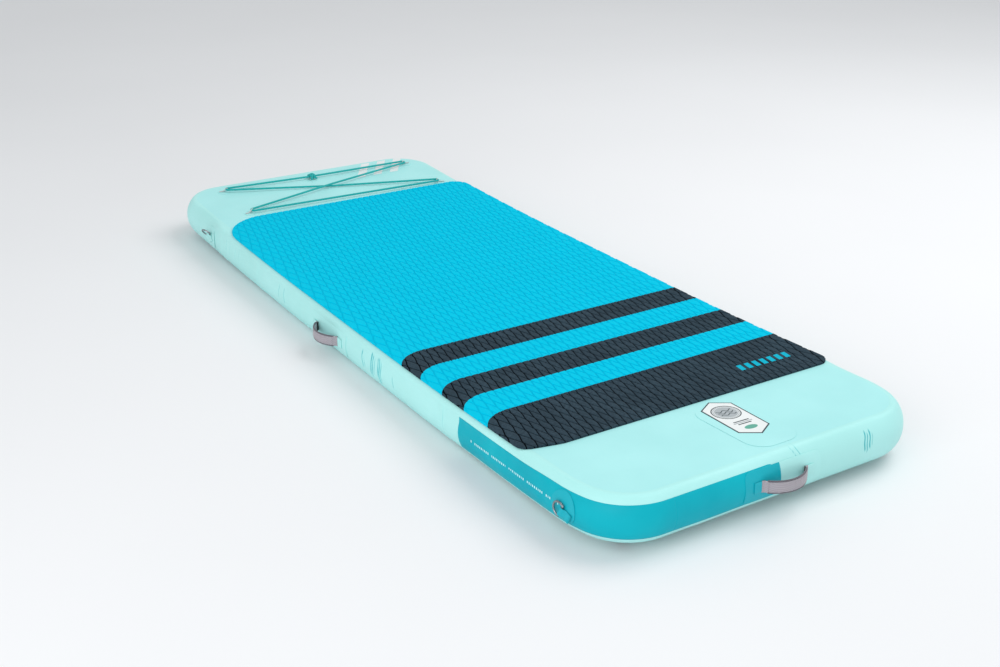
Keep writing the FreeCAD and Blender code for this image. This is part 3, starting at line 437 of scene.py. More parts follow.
M["steel"] = steel()
M["valve"] = moulded("valve_plastic", rgb(48, 52, 56), rgb(34, 37, 41))
M["cap"] = moulded("cap_plastic", rgb(70, 76, 82), rgb(52, 57, 62), 0.45)
M["rubber"] = moulded("seal_rubber", rgb(30, 30, 32), rgb(18, 18, 20), 0.75)


def patch_material():
    """Patch film that carries the band's colour where the band runs over it."""
    shader = pvc("pvc_patch", SIDE, SIDE_SHADE)
    x, y = shader.axis(0), shader.axis(1)
    tail_part = shader.math("MULTIPLY", shader.math("LESS_THAN", x, -0.008),
                            shader.math("LESS_THAN", y, -0.605))
    side_tint = shader.mix(shader.noise(5, 3), SIDE, SIDE_SHADE)
    band_tint = shader.mix(shader.noise(5, 3), TEAL, TEAL_SHADE)
    shader.color(shader.mix(tail_part, side_tint, band_tint))
    return shader


M["patch"] = patch_material()


def paint(item, *keys):
    for key in keys:
        item.data.materials.append(M[key].mat)


def finish_piece(item, body, slot, *nodes):
    """Rides a piece on its body and hides the nodes it stands for; the slot is not used."""
    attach(item, body)
    if nodes:
        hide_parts(*nodes)


# ------------------------------------------------------------------ hull

OUTLINE, NORMALS = outline_points(0.0035)
COUNT = len(OUTLINE)
EDGE_INSET, SIDE_SAMPLES = 0.034, 34


def section(shoulder):
    """Half rail profile as (inset, height above mid) from the deck's edge down to the middle."""
    top = [(EDGE_INSET, HALF_THICK), (BULGE, HALF_THICK)]
    for k in range(1, 41):
        angle = RAIL_ANGLE * (1 - k / 40)
        inset, height = RAIL_RADIUS * (1 - math.cos(angle)), RAIL_RADIUS * math.sin(angle)
        top.append((inset, height))
    profile = np.array(top)
    if shoulder > 0:
        # a fuller shoulder under the pad's edge
        edge = 0.0105
        drop = np.clip((edge + 0.006 - profile[:, 0]) / 0.0125, 0, 1)
        full = HALF_THICK - 0.0004 - 0.014 * (1 - np.sqrt(np.clip(1 - drop ** 2, 0, 1)))
        inside = profile[:, 0] > 0.0042
        lifted = np.where(inside, np.maximum(profile[:, 1], full), profile[:, 1])
        profile[:, 1] = profile[:, 1] * (1 - shoulder) + lifted * shoulder
    length = distances(profile)
    dense = np.linspace(0, length[-1], 400)
    fine = np.stack([np.interp(dense, length, profile[:, i]) for i in (0, 1)], -1)
    # blurred along its length, mirrored past the middle and drawn out past the deck's edge
    reach = 60
    blur = np.exp(-0.5 * (np.arange(-reach, reach + 1) * (length[-1] / 399) / 0.0045) ** 2)
    blur /= blur.sum()
    longer = np.concatenate([fine[:1] + (fine[:1] - fine[1:reach + 1][::-1]), fine,
                             fine[-2:-reach - 2:-1] * [1, -1]])
    soft = np.stack([np.convolve(longer[:, i], blur, "same")[reach:-reach] for i in (0, 1)], -1)
    return soft[np.linspace(0, 399, SIDE_SAMPLES).astype(int)]


# whole profiles by how full their upper shoulder is
BOTTOM_HALF = section(0.0)[-2::-1] * [1, -1]
PROFILES = {level: np.concatenate([section(level), BOTTOM_HALF])
            for level in (0.0, 0.25, 0.5, 0.75, 1.0)}


def profile_at(level):
    levels = sorted(PROFILES)
    low = max(v for v in levels if v <= level + 1e-9)
    high = min(v for v in levels if v >= level - 1e-9)
    if high == low:
        return PROFILES[low]
    share = (level - low) / (high - low)
    return PROFILES[low] * (1 - share) + PROFILES[high] * share


def smooth_step(value, low, high):
    t = np.clip((value - low) / (high - low), 0, 1)
    return t * t * (3 - 2 * t)


# side of the rail: place along it, width, depth, from, to (shares of the half height), lean
FOLDS = {
    "left": [
        (-0.156, 0.0016, 0.0016, -0.35, 0.45, 0.006), (-0.166, 0.0012, 0.0010, -0.30, 0.20, 0.004),
        (-0.201, 0.0020, 0.0022, -0.55, 0.60, -0.003),
        (-0.209, 0.0014, 0.0016, -0.50, 0.55, -0.004),
        (-0.217, 0.0012, 0.0012, -0.35, 0.45, -0.004), (-0.236, 0.0018, 0.0022, -0.60, 0.55, 0.003),
        (-0.243, 0.0016, 0.0020, -0.55, 0.60, 0.002), (-0.250, 0.0012, 0.0014, -0.40, 0.50, 0.002),
        (0.305, 0.0016, 0.0009, -0.30, 0.50, 0.004), (0.340, 0.0014, 0.0008, -0.20, 0.50, -0.003),
        (0.622, 0.0012, 0.0005, -0.10, 0.65, 0.002), (0.650, 0.0012, 0.0005, -0.20, 0.60, 0.003),
        (0.690, 0.0012, 0.0005, -0.10, 0.70, 0.000), (0.716, 0.0010, 0.0008, 0.00, 0.60, 0.002),
        (-0.310, 0.0022, 0.0009, -0.25, 0.25, 0.010), (-0.540, 0.0010, 0.0007, -0.45, 0.55, 0.001),
    ],
    "tail": [
        (0.226, 0.0014, 0.0018, -0.10, 0.70, 0.004), (0.233, 0.0012, 0.0016, -0.20, 0.60, 0.003),
        (0.241, 0.0014, 0.0018, -0.05, 0.70, 0.002), (0.248, 0.0011, 0.0010, 0.05, 0.55, 0.001),
        (0.048, 0.0014, 0.0008, 0.55, 1.00, -0.016), (0.060, 0.0012, 0.0008, 0.50, 1.00, -0.016),
    ],
}


def each_fold(points, heights):
    """For each fold: its place, width, depth, the distance from its line, and how much it shows."""
    x, y = points[:, None, 0], points[:, None, 1]
    z = heights[None, :] / HALF_THICK
    for side, folds in FOLDS.items():
        where = (x < -0.40) & (np.abs(y) < 1.0) if side == "left" else y < -1.13
        for place, width, depth, low, high, lean in folds:
            shown = smooth_step(z, low - 0.12, low + 0.12) \
                * (1 - smooth_step(z, high - 0.12, high + 0.12))
            along = y if side == "left" else x
            yield place, width, depth, along - place - lean * z, where * shown


def rail_folds(points, heights):
    """How deep each rail point lies in a fold (metres)."""
    z = heights[None, :] / HALF_THICK
    depth_of = np.zeros((len(points), len(heights)))
    for place, width, depth, distance, shown in each_fold(points, heights):
        wave = 0.0012 * np.sin(z * 9 + place * 40)
        shape = np.exp(-((distance - wave) / (1.25 * width)) ** 2)
        depth_of = np.maximum(depth_of, shown * depth * shape)
    return depth_of


def rail_relief(points, heights):
    """Small outward relief on the rail: folds, taped seams and slow waves (metres)."""
    x, y = points[:, None, 0], points[:, None, 1]
    z = heights[None, :] / HALF_THICK
    relief = 0.00035 * np.sin(y * 41 + 3 * z) * np.sin(x * 33 + 1.3)
    relief = relief + 0.0003 * np.sin(y * 17 + x * 23)
    for _, width, depth, distance, shown in each_fold(points, heights):
        relief = relief + shown * 0.7 * depth * np.exp(-(distance / (3.6 * width)) ** 2)
    relief = np.maximum(relief - 1.4 * rail_folds(points, heights), -0.0005)
    left = (x < -0.40) & (np.abs(y) < 1.0)
    for place in (-0.542, 0.487, 0.751):
        relief = relief + left * 0.0007 * smooth_step(y, place - 0.0012, place + 0.0012) \
            * (1 - smooth_step(y, place + 0.020, place + 0.024))
    return relief


def rail_grid(shift=0.0):
    """Rail surface at a height above the skin: a row of profile samples per outline point."""
    y = OUTLINE[:, 1]
    pad_zone = smooth_step(y, PAD_TAIL - 0.12, PAD_TAIL + 0.06) \
        * (1 - smooth_step(y, PAD_NOSE - 0.030, PAD_NOSE + 0.045))
    side = np.clip(np.abs(NORMALS[:, 0]), 0, 1) ** 4
    levels = np.round(pad_zone * side, 3)
    table = np.stack([profile_at(level) for level in levels])
    inset, height = table[:, :, 0], table[:, :, 1]
    d_inset = np.gradient(inset, axis=1)
    d_height = np.gradient(height, axis=1)
    size = np.hypot(d_inset, d_height) + 1e-12
    n_out = np.abs(d_height / size)
    n_up = np.where(height >= 0, 1, -1) * np.abs(d_inset / size)
    relief = rail_relief(OUTLINE, height.mean(0)) * (n_out ** 0.5) + shift
    # the taped edges lie flush with the skins
    samples = np.arange(inset.shape[1])
    from_edge = np.minimum(samples, samples[::-1])
    relief = relief - 0.0004 * (1 - smooth_step(from_edge, 0, 1.5))
    inset = inset - n_out * relief
    height = height + n_up * relief
    flat = np.zeros((COUNT, inset.shape[1], 3))
    flat[:, :, :2] = OUTLINE[:, None, :] - inset[:, :, None] * NORMALS[:, None, :]
    flat[:, :, 2] = HALF_THICK + height
    return flat


def make_rail():
    outer = rail_grid()
    inner = rail_grid(-0.0012)[:, ::-1]
    loop = np.concatenate([outer, inner], axis=1)
    rail = grid_object("rail_skin", lift(loop), True, True)
    # fold depth at each rail point, which the side material turns into painted shade in the folds
    depth = rail_folds(OUTLINE, PROFILES[0.0][:, 1])
    mark = rail.data.attributes.new("fold", "FLOAT", "POINT")
    mark.data.foreach_set("value", np.concatenate([depth, depth[:, ::-1]], axis=1).ravel() / 0.002)
    paint(rail, "side")
    finish_piece(rail, "hull", "pvc_mint", "rail_tape")


def skin_sheet(name, low, high, key, node):
    """A flat skin inside the rail, in rows across the board, dense where the corners turn."""
    edge = (OUTLINE - NORMALS * 0.030)[:COUNT // 2 + 1]
    rows = edge[edge[:, 0] > 0.20]
    rows = rows[np.argsort(rows[:, 1], kind="stable")]
    keep = np.concatenate([[True], np.diff(rows[:, 1]) > 0.0008])
    rows = rows[keep]
    rows[0, 0] = HALF_WIDTH - TAIL_INSET
    rows[-1, 0] = HALF_WIDTH - NOSE_RADIUS
    across = np.linspace(-1, 1, 25)
    layers = []
    for height in (high, low):
        layer = np.zeros((len(rows), len(across), 3))
        layer[:, :, 0] = rows[:, :1] * across
        layer[:, :, 1] = rows[:, 1:]
        layer[:, :, 2] = height
        layers.append(layer if height == high else layer[:, ::-1])
    loop = np.concatenate(layers, axis=1)
    sheet = grid_object(name, lift(loop), False, True, caps=True)
    flat_shaded(sheet)
    paint(sheet, key)
    finish_piece(sheet, "hull", "pvc_mint", node)


make_rail()
skin_sheet("deck_sheet", THICK - 0.0012, THICK - 0.0002, "deck", "deck_skin")
skin_sheet("bottom_sheet", 0.0002, 0.0012, "under", "bottom_skin")


# ------------------------------------------------------------------ printed band

BAND_HALF, BAND_CORNERS, BAND_FILM = 0.0361, (0.026, 0.036), 0.0006


def make_band():
    """The band's strip of rail surface, from the left side round to the tail's middle."""
    x, y = OUTLINE[:, 0], OUTLINE[:, 1]
    order = [k for k in range(COUNT) if (x[k] < -0.008 and y[k] < -0.5)
             and not (x[k] < -0.40 and y[k] > -0.605)]
    grid = rail_grid(BAND_FILM)[order]
    along = distances(OUTLINE[order])
    along = along[-1] - along
    samples = 30
    strip = np.zeros((len(order), samples, 3))
    for row, distance in enumerate(along):
        top, bottom = (BAND_HALF - corner + math.sqrt(corner ** 2 - max(corner - distance, 0) ** 2)
                       for corner in BAND_CORNERS)
        heights = np.linspace(top, -bottom, samples)
        column = grid[row]
        level = column[::-1, 2] - HALF_THICK
        for axis in range(3):
            strip[row, :, axis] = np.interp(heights, level, column[::-1, axis])
    # a lapped seam a little below the top edge and two upright ones
    inner = strip.copy()
    normal = np.zeros_like(strip)
    normal[:, :, :2] = NORMALS[order][:, None, :]
    inner -= normal * BAND_FILM
    heights = strip[:, :, 2] - HALF_THICK
    seam = smooth_step(heights, 0.0295, 0.0303) * (OUTLINE[order, 1] < -0.97)[:, None]
    strip -= normal * (0.00045 * seam)[:, :, None]
    for axis, place, wide in ((1, -1.020, 0.0010), (0, -0.270, 0.0010)):
        value = OUTLINE[order, axis][:, None]
        near = np.exp(-((value - place) / wide) ** 2)
        limit = (OUTLINE[order, 0] < -0.38)[:, None] if axis == 1 else \
            (OUTLINE[order, 1] < -1.13)[:, None]
        strip -= normal * (0.0006 * near * limit)[:, :, None]
    loop = np.concatenate([strip, inner[:, ::-1]], axis=1)
    band = grid_object("rail_band_film", lift(loop), False, True, caps=True)
    paint(band, "band")
    finish_piece(band, "hull", "pvc_teal", "rail_band")


make_band()


# ------------------------------------------------------------------ foam pad

def half_cell(inset, steps=6):
    """One side of a cell drawn in by an inset: shares of its half length and half widths there."""
    def width(t):
        return (0.45 * t + 0.275 * (1 - np.cos(np.pi * t))) * CELL_W / 2

    shares = np.linspace(0, 1, 200)
    first = np.interp(inset, width(shares), shares)
    t = first + (1 - first) * np.arange(steps + 1) / steps
    return t, np.maximum(width(t) - inset, 0)


def cell_ring(inset):
    """A closed leaf-shaped ring round a cell's middle."""
    t, w = half_cell(inset)
    low, high = (t - 1) * CELL_HALF, (1 - t) * CELL_HALF
    left = np.stack([-w[:-1], low[:-1]], -1), np.stack([-w[:0:-1], high[:0:-1]], -1)
    right = np.stack([w[:-1], high[:-1]], -1), np.stack([w[:0:-1], low[:0:-1]], -1)
    return np.concatenate([*left, *right])


def spread(u):
    """Cells grow wider towards the pad's sides."""
    extra = max(0.0, abs(u) - 0.360)
    return math.copysign(abs(u) + 5.5 * extra * extra, u)


def make_net():
    """One mesh of raised leaf-shaped cells, larger than the pad, at heights above the skin."""
    bm = bmesh.new()
    first_x, first_y = 0.0121, 0.01775
    crown, floor = PAD_THICK, PAD_THICK - 0.0019
    layers = [(cell_ring(inset), height) for inset, height in
              ((0, floor), (0.00095, floor), (0.00165, crown - 0.0007), (0.0026, crown - 0.0003),
               (0.0050, crown))]
    rows = range(int((PAD_TAIL - first_y) / CELL_HALF) - 2,
                 int((PAD_NOSE - first_y) / CELL_HALF) + 2)
    across = int(PAD_HALF / CELL_W) + 2
    for row in rows:
        for column in range(-across, across + 1):
            centre = first_x + column * CELL_W + (CELL_W / 2 if row % 2 else 0)
            middle = first_y + (row + 1) * CELL_HALF
            rings = [[bm.verts.new((spread(centre + x), middle + y, height)) for x, y in ring]
                     for ring, height in layers]
            size = len(rings[0])
            for low, high in zip(rings, rings[1:]):
                for k in range(size):
                    bm.faces.new((low[k], low[(k + 1) % size], high[(k + 1) % size], high[k]))
            bm.faces.new(rings[-1])
    bmesh.ops.remove_doubles(bm, verts=bm.verts, dist=0.00004)
    return bm


def corner_points(corner, before, after, radius):
    """A rounded corner, as points."""
    corner, before, after = map(np.array, (corner, before, after))
    into = (corner - before) / np.linalg.norm(corner - before)
    out = (after - corner) / np.linalg.norm(after - corner)
    turn = max(math.acos(float(np.clip(into @ out, -1, 1))), 1e-4)
    reach = radius * math.tan(turn / 2)
    inward = (out - into) / np.linalg.norm(out - into)
    centre = corner + inward * radius / math.cos(turn / 2)
    first, last = corner - into * reach - centre, corner + out * reach - centre
    return [centre + (first * math.sin(turn - angle) + last * math.sin(angle)) / math.sin(turn)
            for angle in turn * np.arange(9) / 8]


def pad_outline():
    lift_left = (PAD_HALF - 0.327) * math.tan(math.radians(13))
    corners = [(-0.327, PAD_TAIL), (PAD_HALF, PAD_TAIL), (PAD_HALF, PAD_NOSE),
               (-PAD_HALF, PAD_NOSE), (-PAD_HALF, PAD_TAIL + lift_left)]
    radii = [0.120, 0.034, 0.048, 0.140, 0.030]
    outline = []
    for k, radius in enumerate(radii):
        outline += corner_points(corners[k], corners[k - 1], corners[(k + 1) % 5], radius)
    return outline


def cut(bm, faces, point, normal):
    """Cuts faces by an upright plane. Returns them with the new ones."""
    verts = dict.fromkeys(v for f in faces for v in f.verts)
    edges = dict.fromkeys(e for f in faces for e in f.edges)
    made = bmesh.ops.bisect_plane(bm, geom=[*verts, *edges, *faces], dist=1e-6,
                                  plane_co=(*point, 0), plane_no=(*normal, 0))
    return [f for f in made["geom"] if isinstance(f, bmesh.types.BMFace)]


def stripe_line(line):
    """A stripe's edge from left to right: a swept end, then straight across."""
    start = -PAD_HALF + SWEEP_START
    points = []
    for k in range(9):
        angle = SWEEP_ANGLE * (1 - k / 8)
        points.append((start - SWEEP_RADIUS * math.sin(angle),
                       line - SWEEP_RADIUS * (1 - math.cos(angle))))
    slope = math.tan(SWEEP_ANGLE)
    far = (points[0][0] - 0.1, points[0][1] - 0.1 * slope)
    return [far] + points + [(PAD_HALF + 0.1, line)]


def make_pad():
    bm = make_net()
    outline = pad_outline()
    for k, point in enumerate(outline):
        after = outline[(k + 1) % len(outline)]
        edge = np.array(after) - np.array(point)
        if np.linalg.norm(edge) < 1e-5:
            continue
        bmesh.ops.bisect_plane(bm, geom=[*bm.verts, *bm.edges, *bm.faces], dist=1e-6,
                               plane_co=(*point, 0), plane_no=(edge[1], -edge[0], 0),
                               clear_outer=True)
    lines = [stripe_line(line) for line in STRIPES]
    for x, _ in lines[0][1:-1]:
        zone = [f for f in bm.faces if PAD_TAIL < f.calc_center_median().y < -0.2]
        cut(bm, zone, (x, 0), (1, 0))
    for line in lines:
        for start, end in zip(line, line[1:]):
            direction = np.array(end) - np.array(start)
            zone = [f for f in bm.faces
                    if start[0] - 1e-4 < f.calc_center_median().x < end[0] + 1e-4
                    and abs(f.calc_center_median().y - (start[1] + end[1]) / 2) < 0.16]
            cut(bm, zone, start, (-direction[1], direction[0]))

    stripes = ["dark_front", "blue_front", "dark_middle", "blue_rear", "dark_rear"]
    names = ["pad_field"] + ["pad_" + stripe for stripe in stripes]
    nodes = ["pad_main"] + ["pad_stripe_" + stripe for stripe in stripes]
    groups = [[] for _ in names]
    for face in bm.faces:
        x, y, _ = face.calc_center_median()
        groups[sum(y < np.interp(x, *zip(*line)) for line in lines)].append(face)
    for name, node, faces in zip(names, nodes, groups):
        part = bmesh.new()
        mapping = {}
        for face in faces:
            corners = []
            for vert in face.verts:
                if vert not in mapping:
                    mapping[vert] = part.verts.new(vert.co)
                corners.append(mapping[vert])
            if len(set(corners)) > 2:
                fresh = part.faces.new(corners)
                # faces down in a groove take the groove material: painted shade in the grooves
                in_groove = max(v.co.z for v in corners) < PAD_THICK - 0.0010
                fresh.material_index = int(in_groove)
        part.normal_update()
        bmesh.ops.reverse_faces(part, faces=[f for f in part.faces if f.normal.z < 0])
        rim = [e for e in part.edges if e.is_boundary]
        # the cut edge rolls over a little before it drops to the skin
        for vert in {v for e in rim for v in e.verts}:
            vert.co.z = min(vert.co.z, PAD_THICK - 0.0007)
        for vert in bmesh.ops.extrude_edge_only(part, edges=rim)["geom"]:
            if isinstance(vert, bmesh.types.BMVert):
                vert.co.z = 0.0001
        rim = [e for e in part.edges if e.is_boundary]
        under = bmesh.ops.contextual_create(part, geom=rim)["faces"]
        for level in np.arange(PAD_TAIL + 0.02, PAD_NOSE, 0.045):
            under = cut(part, under, (0, level), (0, 1))
        raised = lift(np.array([v.co for v in part.verts]) + [0, 0, THICK])
        for vert, place in zip(part.verts, raised):
            vert.co = place
        part.normal_update()
        mesh = bpy.data.meshes.new(name)
        part.to_mesh(mesh)
        part.free()
        item = add(name, mesh)
        key = "dark" if "dark" in name else "cyan"
        paint(item, key, key + "_groove")
        finish_piece(item, "hull", "foam_" + key, node)
    bm.free()


make_pad()


# ------------------------------------------------------------------ strips of webbing and sleeves

def strip(name, centre, across, width, thick, ribs=9, puffed=False, taper=1.0):
    """A strap along centre points; across is its width direction, at each point or for all."""
    centre = np.asarray(centre, float)
    across = np.broadcast_to(across, centre.shape)
    across = across / np.linalg.norm(across, axis=1)[:, None]
    along = np.gradient(centre, axis=0)
    along /= np.linalg.norm(along, axis=1)[:, None]
    out = np.cross(along, across)
    out /= np.linalg.norm(out, axis=1)[:, None]
    t = -1 + 2 * np.arange(4 * ribs + 1) / (4 * ribs)
    if puffed:
        half = (1 - t * t) ** 0.32
    else:
        half = (1 - np.abs(t) ** 6) ** 0.5 * (1 + 0.06 * np.cos(t * ribs * 2 * np.pi))
    sides = np.concatenate([t, t[-2:0:-1]]) * width / 2
    heights = np.concatenate([half, -half[-2:0:-1]]) * thick / 2
    grid = centre[:, None] + across[:, None] * sides[:, None] \
        + out[:, None] * heights[:, None] * np.reshape(taper, (-1, 1, 1))
    return grid_object(name, grid, False, True, caps=True)


def cut_ends(item, matrix, low, high):
    """Squares off a bowed strip's ends, at two distances along the board's edge."""
    back = matrix.inverted()
    for vert in item.data.vertices:
        place = back @ vert.co
        if place.y:
            place.y = math.copysign(min(max(abs(place.y), low), high), place.y)
        vert.co = matrix @ place


def place_frame(side_point, outwards):
    """4x4 with X outwards, Z up (tilted with the rocker), origin on the rail's middle line."""
    outwards = Vector(outwards).normalized()
    upwards = Vector((0, 0, 1))
    along = upwards.cross(outwards).normalized()
    upwards = outwards.cross(along).normalized()
    return Matrix((
        (outwards.x, along.x, upwards.x, side_point[0]),
        (outwards.y, along.y, upwards.y, side_point[1]),
        (outwards.z, along.z, upwards.z, side_point[2]),
        (0, 0, 0, 1)))


def end_slope(end):
    last = NOSE_STATION if end > 0 else TAIL_STATION
    return (last - FLAT) / ROCKER


HANDLES = {
    "left": place_frame((-HALF_WIDTH, 0.032, HALF_THICK), (-1, 0, 0)),
    "right": place_frame((HALF_WIDTH, 0.032, HALF_THICK), (1, 0, 0)),
    "tail": place_frame(lift([[0, -HALF_LENGTH, HALF_THICK]])[0],
                        (0, -math.cos(end_slope(-1)), math.sin(end_slope(-1)))),
    "nose": place_frame(lift([[0, HALF_LENGTH, HALF_THICK]])[0],
                        (0, math.cos(end_slope(1)), math.sin(end_slope(1)))),
}
BOW, REACH, SURFACE = 0.071, 0.030, 0.0016
BOW_CENTRE = SURFACE + REACH - BOW
SLEEVE_END, FOOT_START = 0.0510, 0.0515


def to_world(matrix, points):
    rotation = np.array(matrix.to_3x3())
    return np.asarray(points) @ rotation.T + np.array(matrix.translation)


def turn_world(matrix, vectors):
    return np.asarray(vectors) @ np.array(matrix.to_3x3()).T


def upright_strip(name, matrix, points, *shape):
    """A strip along points in a handle's own frame, its width upright."""
    return strip(name, to_world(matrix, points), turn_world(matrix, [0, 0, 1.0]), *shape)


def bow_points(angles, above=0.0, level=0.0):
    """Points on a handle's bow, in its own frame."""
    radius = BOW + above
    return np.stack([BOW_CENTRE + radius * np.cos(angles), radius * np.sin(angles),
                     np.full(len(angles), level)], -1)


def stitches(name, points, direction, normal, length=0.0024, thick=0.00045):
    """A row of small sewing stitches, each a short rounded thread."""
    shape = [(t * length / 2, thick * math.sqrt(max(0.05, 1 - abs(t) ** 3)))
             for t in (-1, -0.5, 0, 0.5, 1)]
    parts = []
    for point, way, up in zip(points, direction, normal):
        way, up = np.array(way), np.array(up)
        side = np.cross(way, up)
        rows = [[point + way * offset + (side * math.cos(a) + up * math.sin(a)) * radius
                 for a in turns(6)] for offset, radius in shape]
        parts.append(grid_object(name + "_part", np.array(rows), False, True, caps=True))
    return join(name, parts)


def make_handles():
    for key, matrix in HANDLES.items():
        body = key + "_handle"
        end = math.asin(SLEEVE_END / BOW)
        strap = upright_strip(key + "_strap_webbing", matrix,
                              bow_points(np.linspace(-end, end, 61)), 0.023, 0.002)
        paint(strap, "black_web")
        finish_piece(strap, body, "webbing_black", body + "_strap")

        angles = np.radians(np.linspace(-46.5, 46.5, 91))
        wobble = 1 + 0.05 * np.sin(angles * 37) + 0.03 * np.sin(angles * 61 + 1)
        sleeve = upright_strip(key + "_sleeve_pad", matrix, bow_points(angles),
                               0.0255, 0.0058, 9, True, wobble)
        cut_ends(sleeve, matrix, 0, SLEEVE_END)
        paint(sleeve, "sleeve")
        finish_piece(sleeve, body, "sleeve_grey", body + "_sleeve")

        binding = join(key + "_sleeve_binding", [
            upright_strip("rim", matrix, bow_points(angles, level=level), 0.0042, 0.0042, 3, True)
            for level in (-0.0122, 0.0122)])
        cut_ends(binding, matrix, 0, SLEEVE_END)
        paint(binding, "binding")
        finish_piece(binding, body, "webbing_black")

        angles = np.radians(np.linspace(-40, 40, 33))
        still = 0 * angles
        ways = np.stack([-np.sin(angles), np.cos(angles), still], -1)
        ups = np.stack([np.cos(angles), np.sin(angles), still], -1)
        points = [bow_points(angles, 0.0026, level) for level in (-0.0088, 0.0088)]
        seam = stitches(key + "_sleeve_stitching", to_world(matrix, np.concatenate(points)),
                        turn_world(matrix, np.tile(ways, (2, 1))),
                        turn_world(matrix, np.tile(ups, (2, 1))))
        paint(seam, "thread")
        finish_piece(seam, body, "webbing_white")

    # the sewn ends: sleeve fabric over a webbing lining, then a film tab on the rail
    path = bow_points(np.radians(np.linspace(44.5, 52, 5)))[:, :2].tolist()
    x, y = path[-1]
    path += [(x * 0.5 + 0.0014, y + 0.0022), (0.0031, y + 0.0046)]
    tab = [(0.0031, y + 0.0046), (0.0027, y + 0.0090), (0.0026, y + 0.0160), (0.0026, y + 0.0225)]
    lining = [(x - 0.0033, y - 0.0012) for x, y in path[:-1]]
    shapes = {"covers": (path, 0.0258, 0.0058, 9, True, np.linspace(1.0, 0.6, 31)),
              "linings": (lining, 0.0235, 0.0012), "tabs": (tab, 0.0240, 0.0020)}
    made = {kind: [] for kind in shapes}
    for matrix in HANDLES.values():
        for way in (-1, 1):
            for kind, (bent, *shape) in shapes.items():
                points = np.array([(x, way * y, 0) for x, y in bent])
                steps = np.linspace(0, len(bent) - 1, 31)
                dense = np.stack([np.interp(steps, np.arange(len(bent)), points[:, i])
                                  for i in range(3)], -1)
                piece = upright_strip("foot", matrix, dense, *shape)
                cut_ends(piece, matrix, FOOT_START, 1.0)
                made[kind].append(piece)
    for name, kind, key, slot, nodes in (
            ("handle_feet_film", "tabs", "patch", "webbing_black", ("handle_feet",)),
            ("handle_feet_webbing", "linings", "black_web", "webbing_black", ()),
            ("handle_feet_sleeves", "covers", "sleeve", "sleeve_grey", ())):
        item = join(name, made[kind])
        paint(item, key)
        finish_piece(item, "hull", slot, *nodes)


make_handles()


# ------------------------------------------------------------------ knot in the bungee

def tube(name, points, radius, samples=160):
    """A round tube through points, smoothed, with closed rounded ends."""
    points = np.asarray(points, float)
    share = np.linspace(0, len(points) - 1, samples)
    dense = np.zeros((samples, 3))
    for k, s in enumerate(share):
        i = int(min(max(math.floor(s), 0), len(points) - 2))
        t = s - i
        p0, p1 = points[max(i - 1, 0)], points[i]
        p2, p3 = points[i + 1], points[min(i + 2, len(points) - 1)]
        dense[k] = 0.5 * ((2 * p1) + (p2 - p0) * t + (2 * p0 - 5 * p1 + 4 * p2 - p3) * t * t
                          + (3 * p1 - p0 - 3 * p2 + p3) * t ** 3)
    angles = turns(14)
    steps = np.arange(samples)
    near_end = np.minimum(steps, samples - 1 - steps)
    size = radius * np.sqrt(np.maximum(0.02, 1 - np.maximum(0, (3 - near_end) / 3.2) ** 2))
    radii = size[:, None] * (1 + 0.05 * np.sin(6 * angles + steps[:, None] * 0.9))
    return round_cord(name, dense, angles, radii)


def round_cord(name, points, angles, radii):
    """A closed round skin along points, with its radius given at each point and angle."""
    along = np.gradient(points, axis=0)
    along /= np.linalg.norm(along, axis=1)[:, None]
    up = np.array([0.0, 0.0, 1.0])
    rows = []
    for point, way, radius in zip(points, along, radii):
        up = unit(up - way * (up @ way))
        side = np.cross(way, up)
        rows.append(point + np.outer(np.cos(angles) * radius, side)
                    + np.outer(np.sin(angles) * radius, up))
    return grid_object(name, np.array(rows), False, True, caps=True)


def braided(name, points, radius, pitch=0.0042):
    """A braided round cord along dense points."""
    angles = turns(16)
    turn = 2 * math.pi * distances(points)[:, None] / pitch
    radii = radius * (1 + 0.035 * np.sin(4 * angles + turn) + 0.035 * np.sin(4 * angles - turn))
    return round_cord(name, points, angles, radii)


ANCHORS = {"front_left": (-0.283, 1.057), "front_right": (0.327, 1.040),
           "rear_left": (-0.284, 0.848), "rear_right": (0.338, 0.829)}
CORD_HEIGHT = THICK + 0.009
KNOT = lift([[0.001, 1.0485, CORD_HEIGHT]])[0]


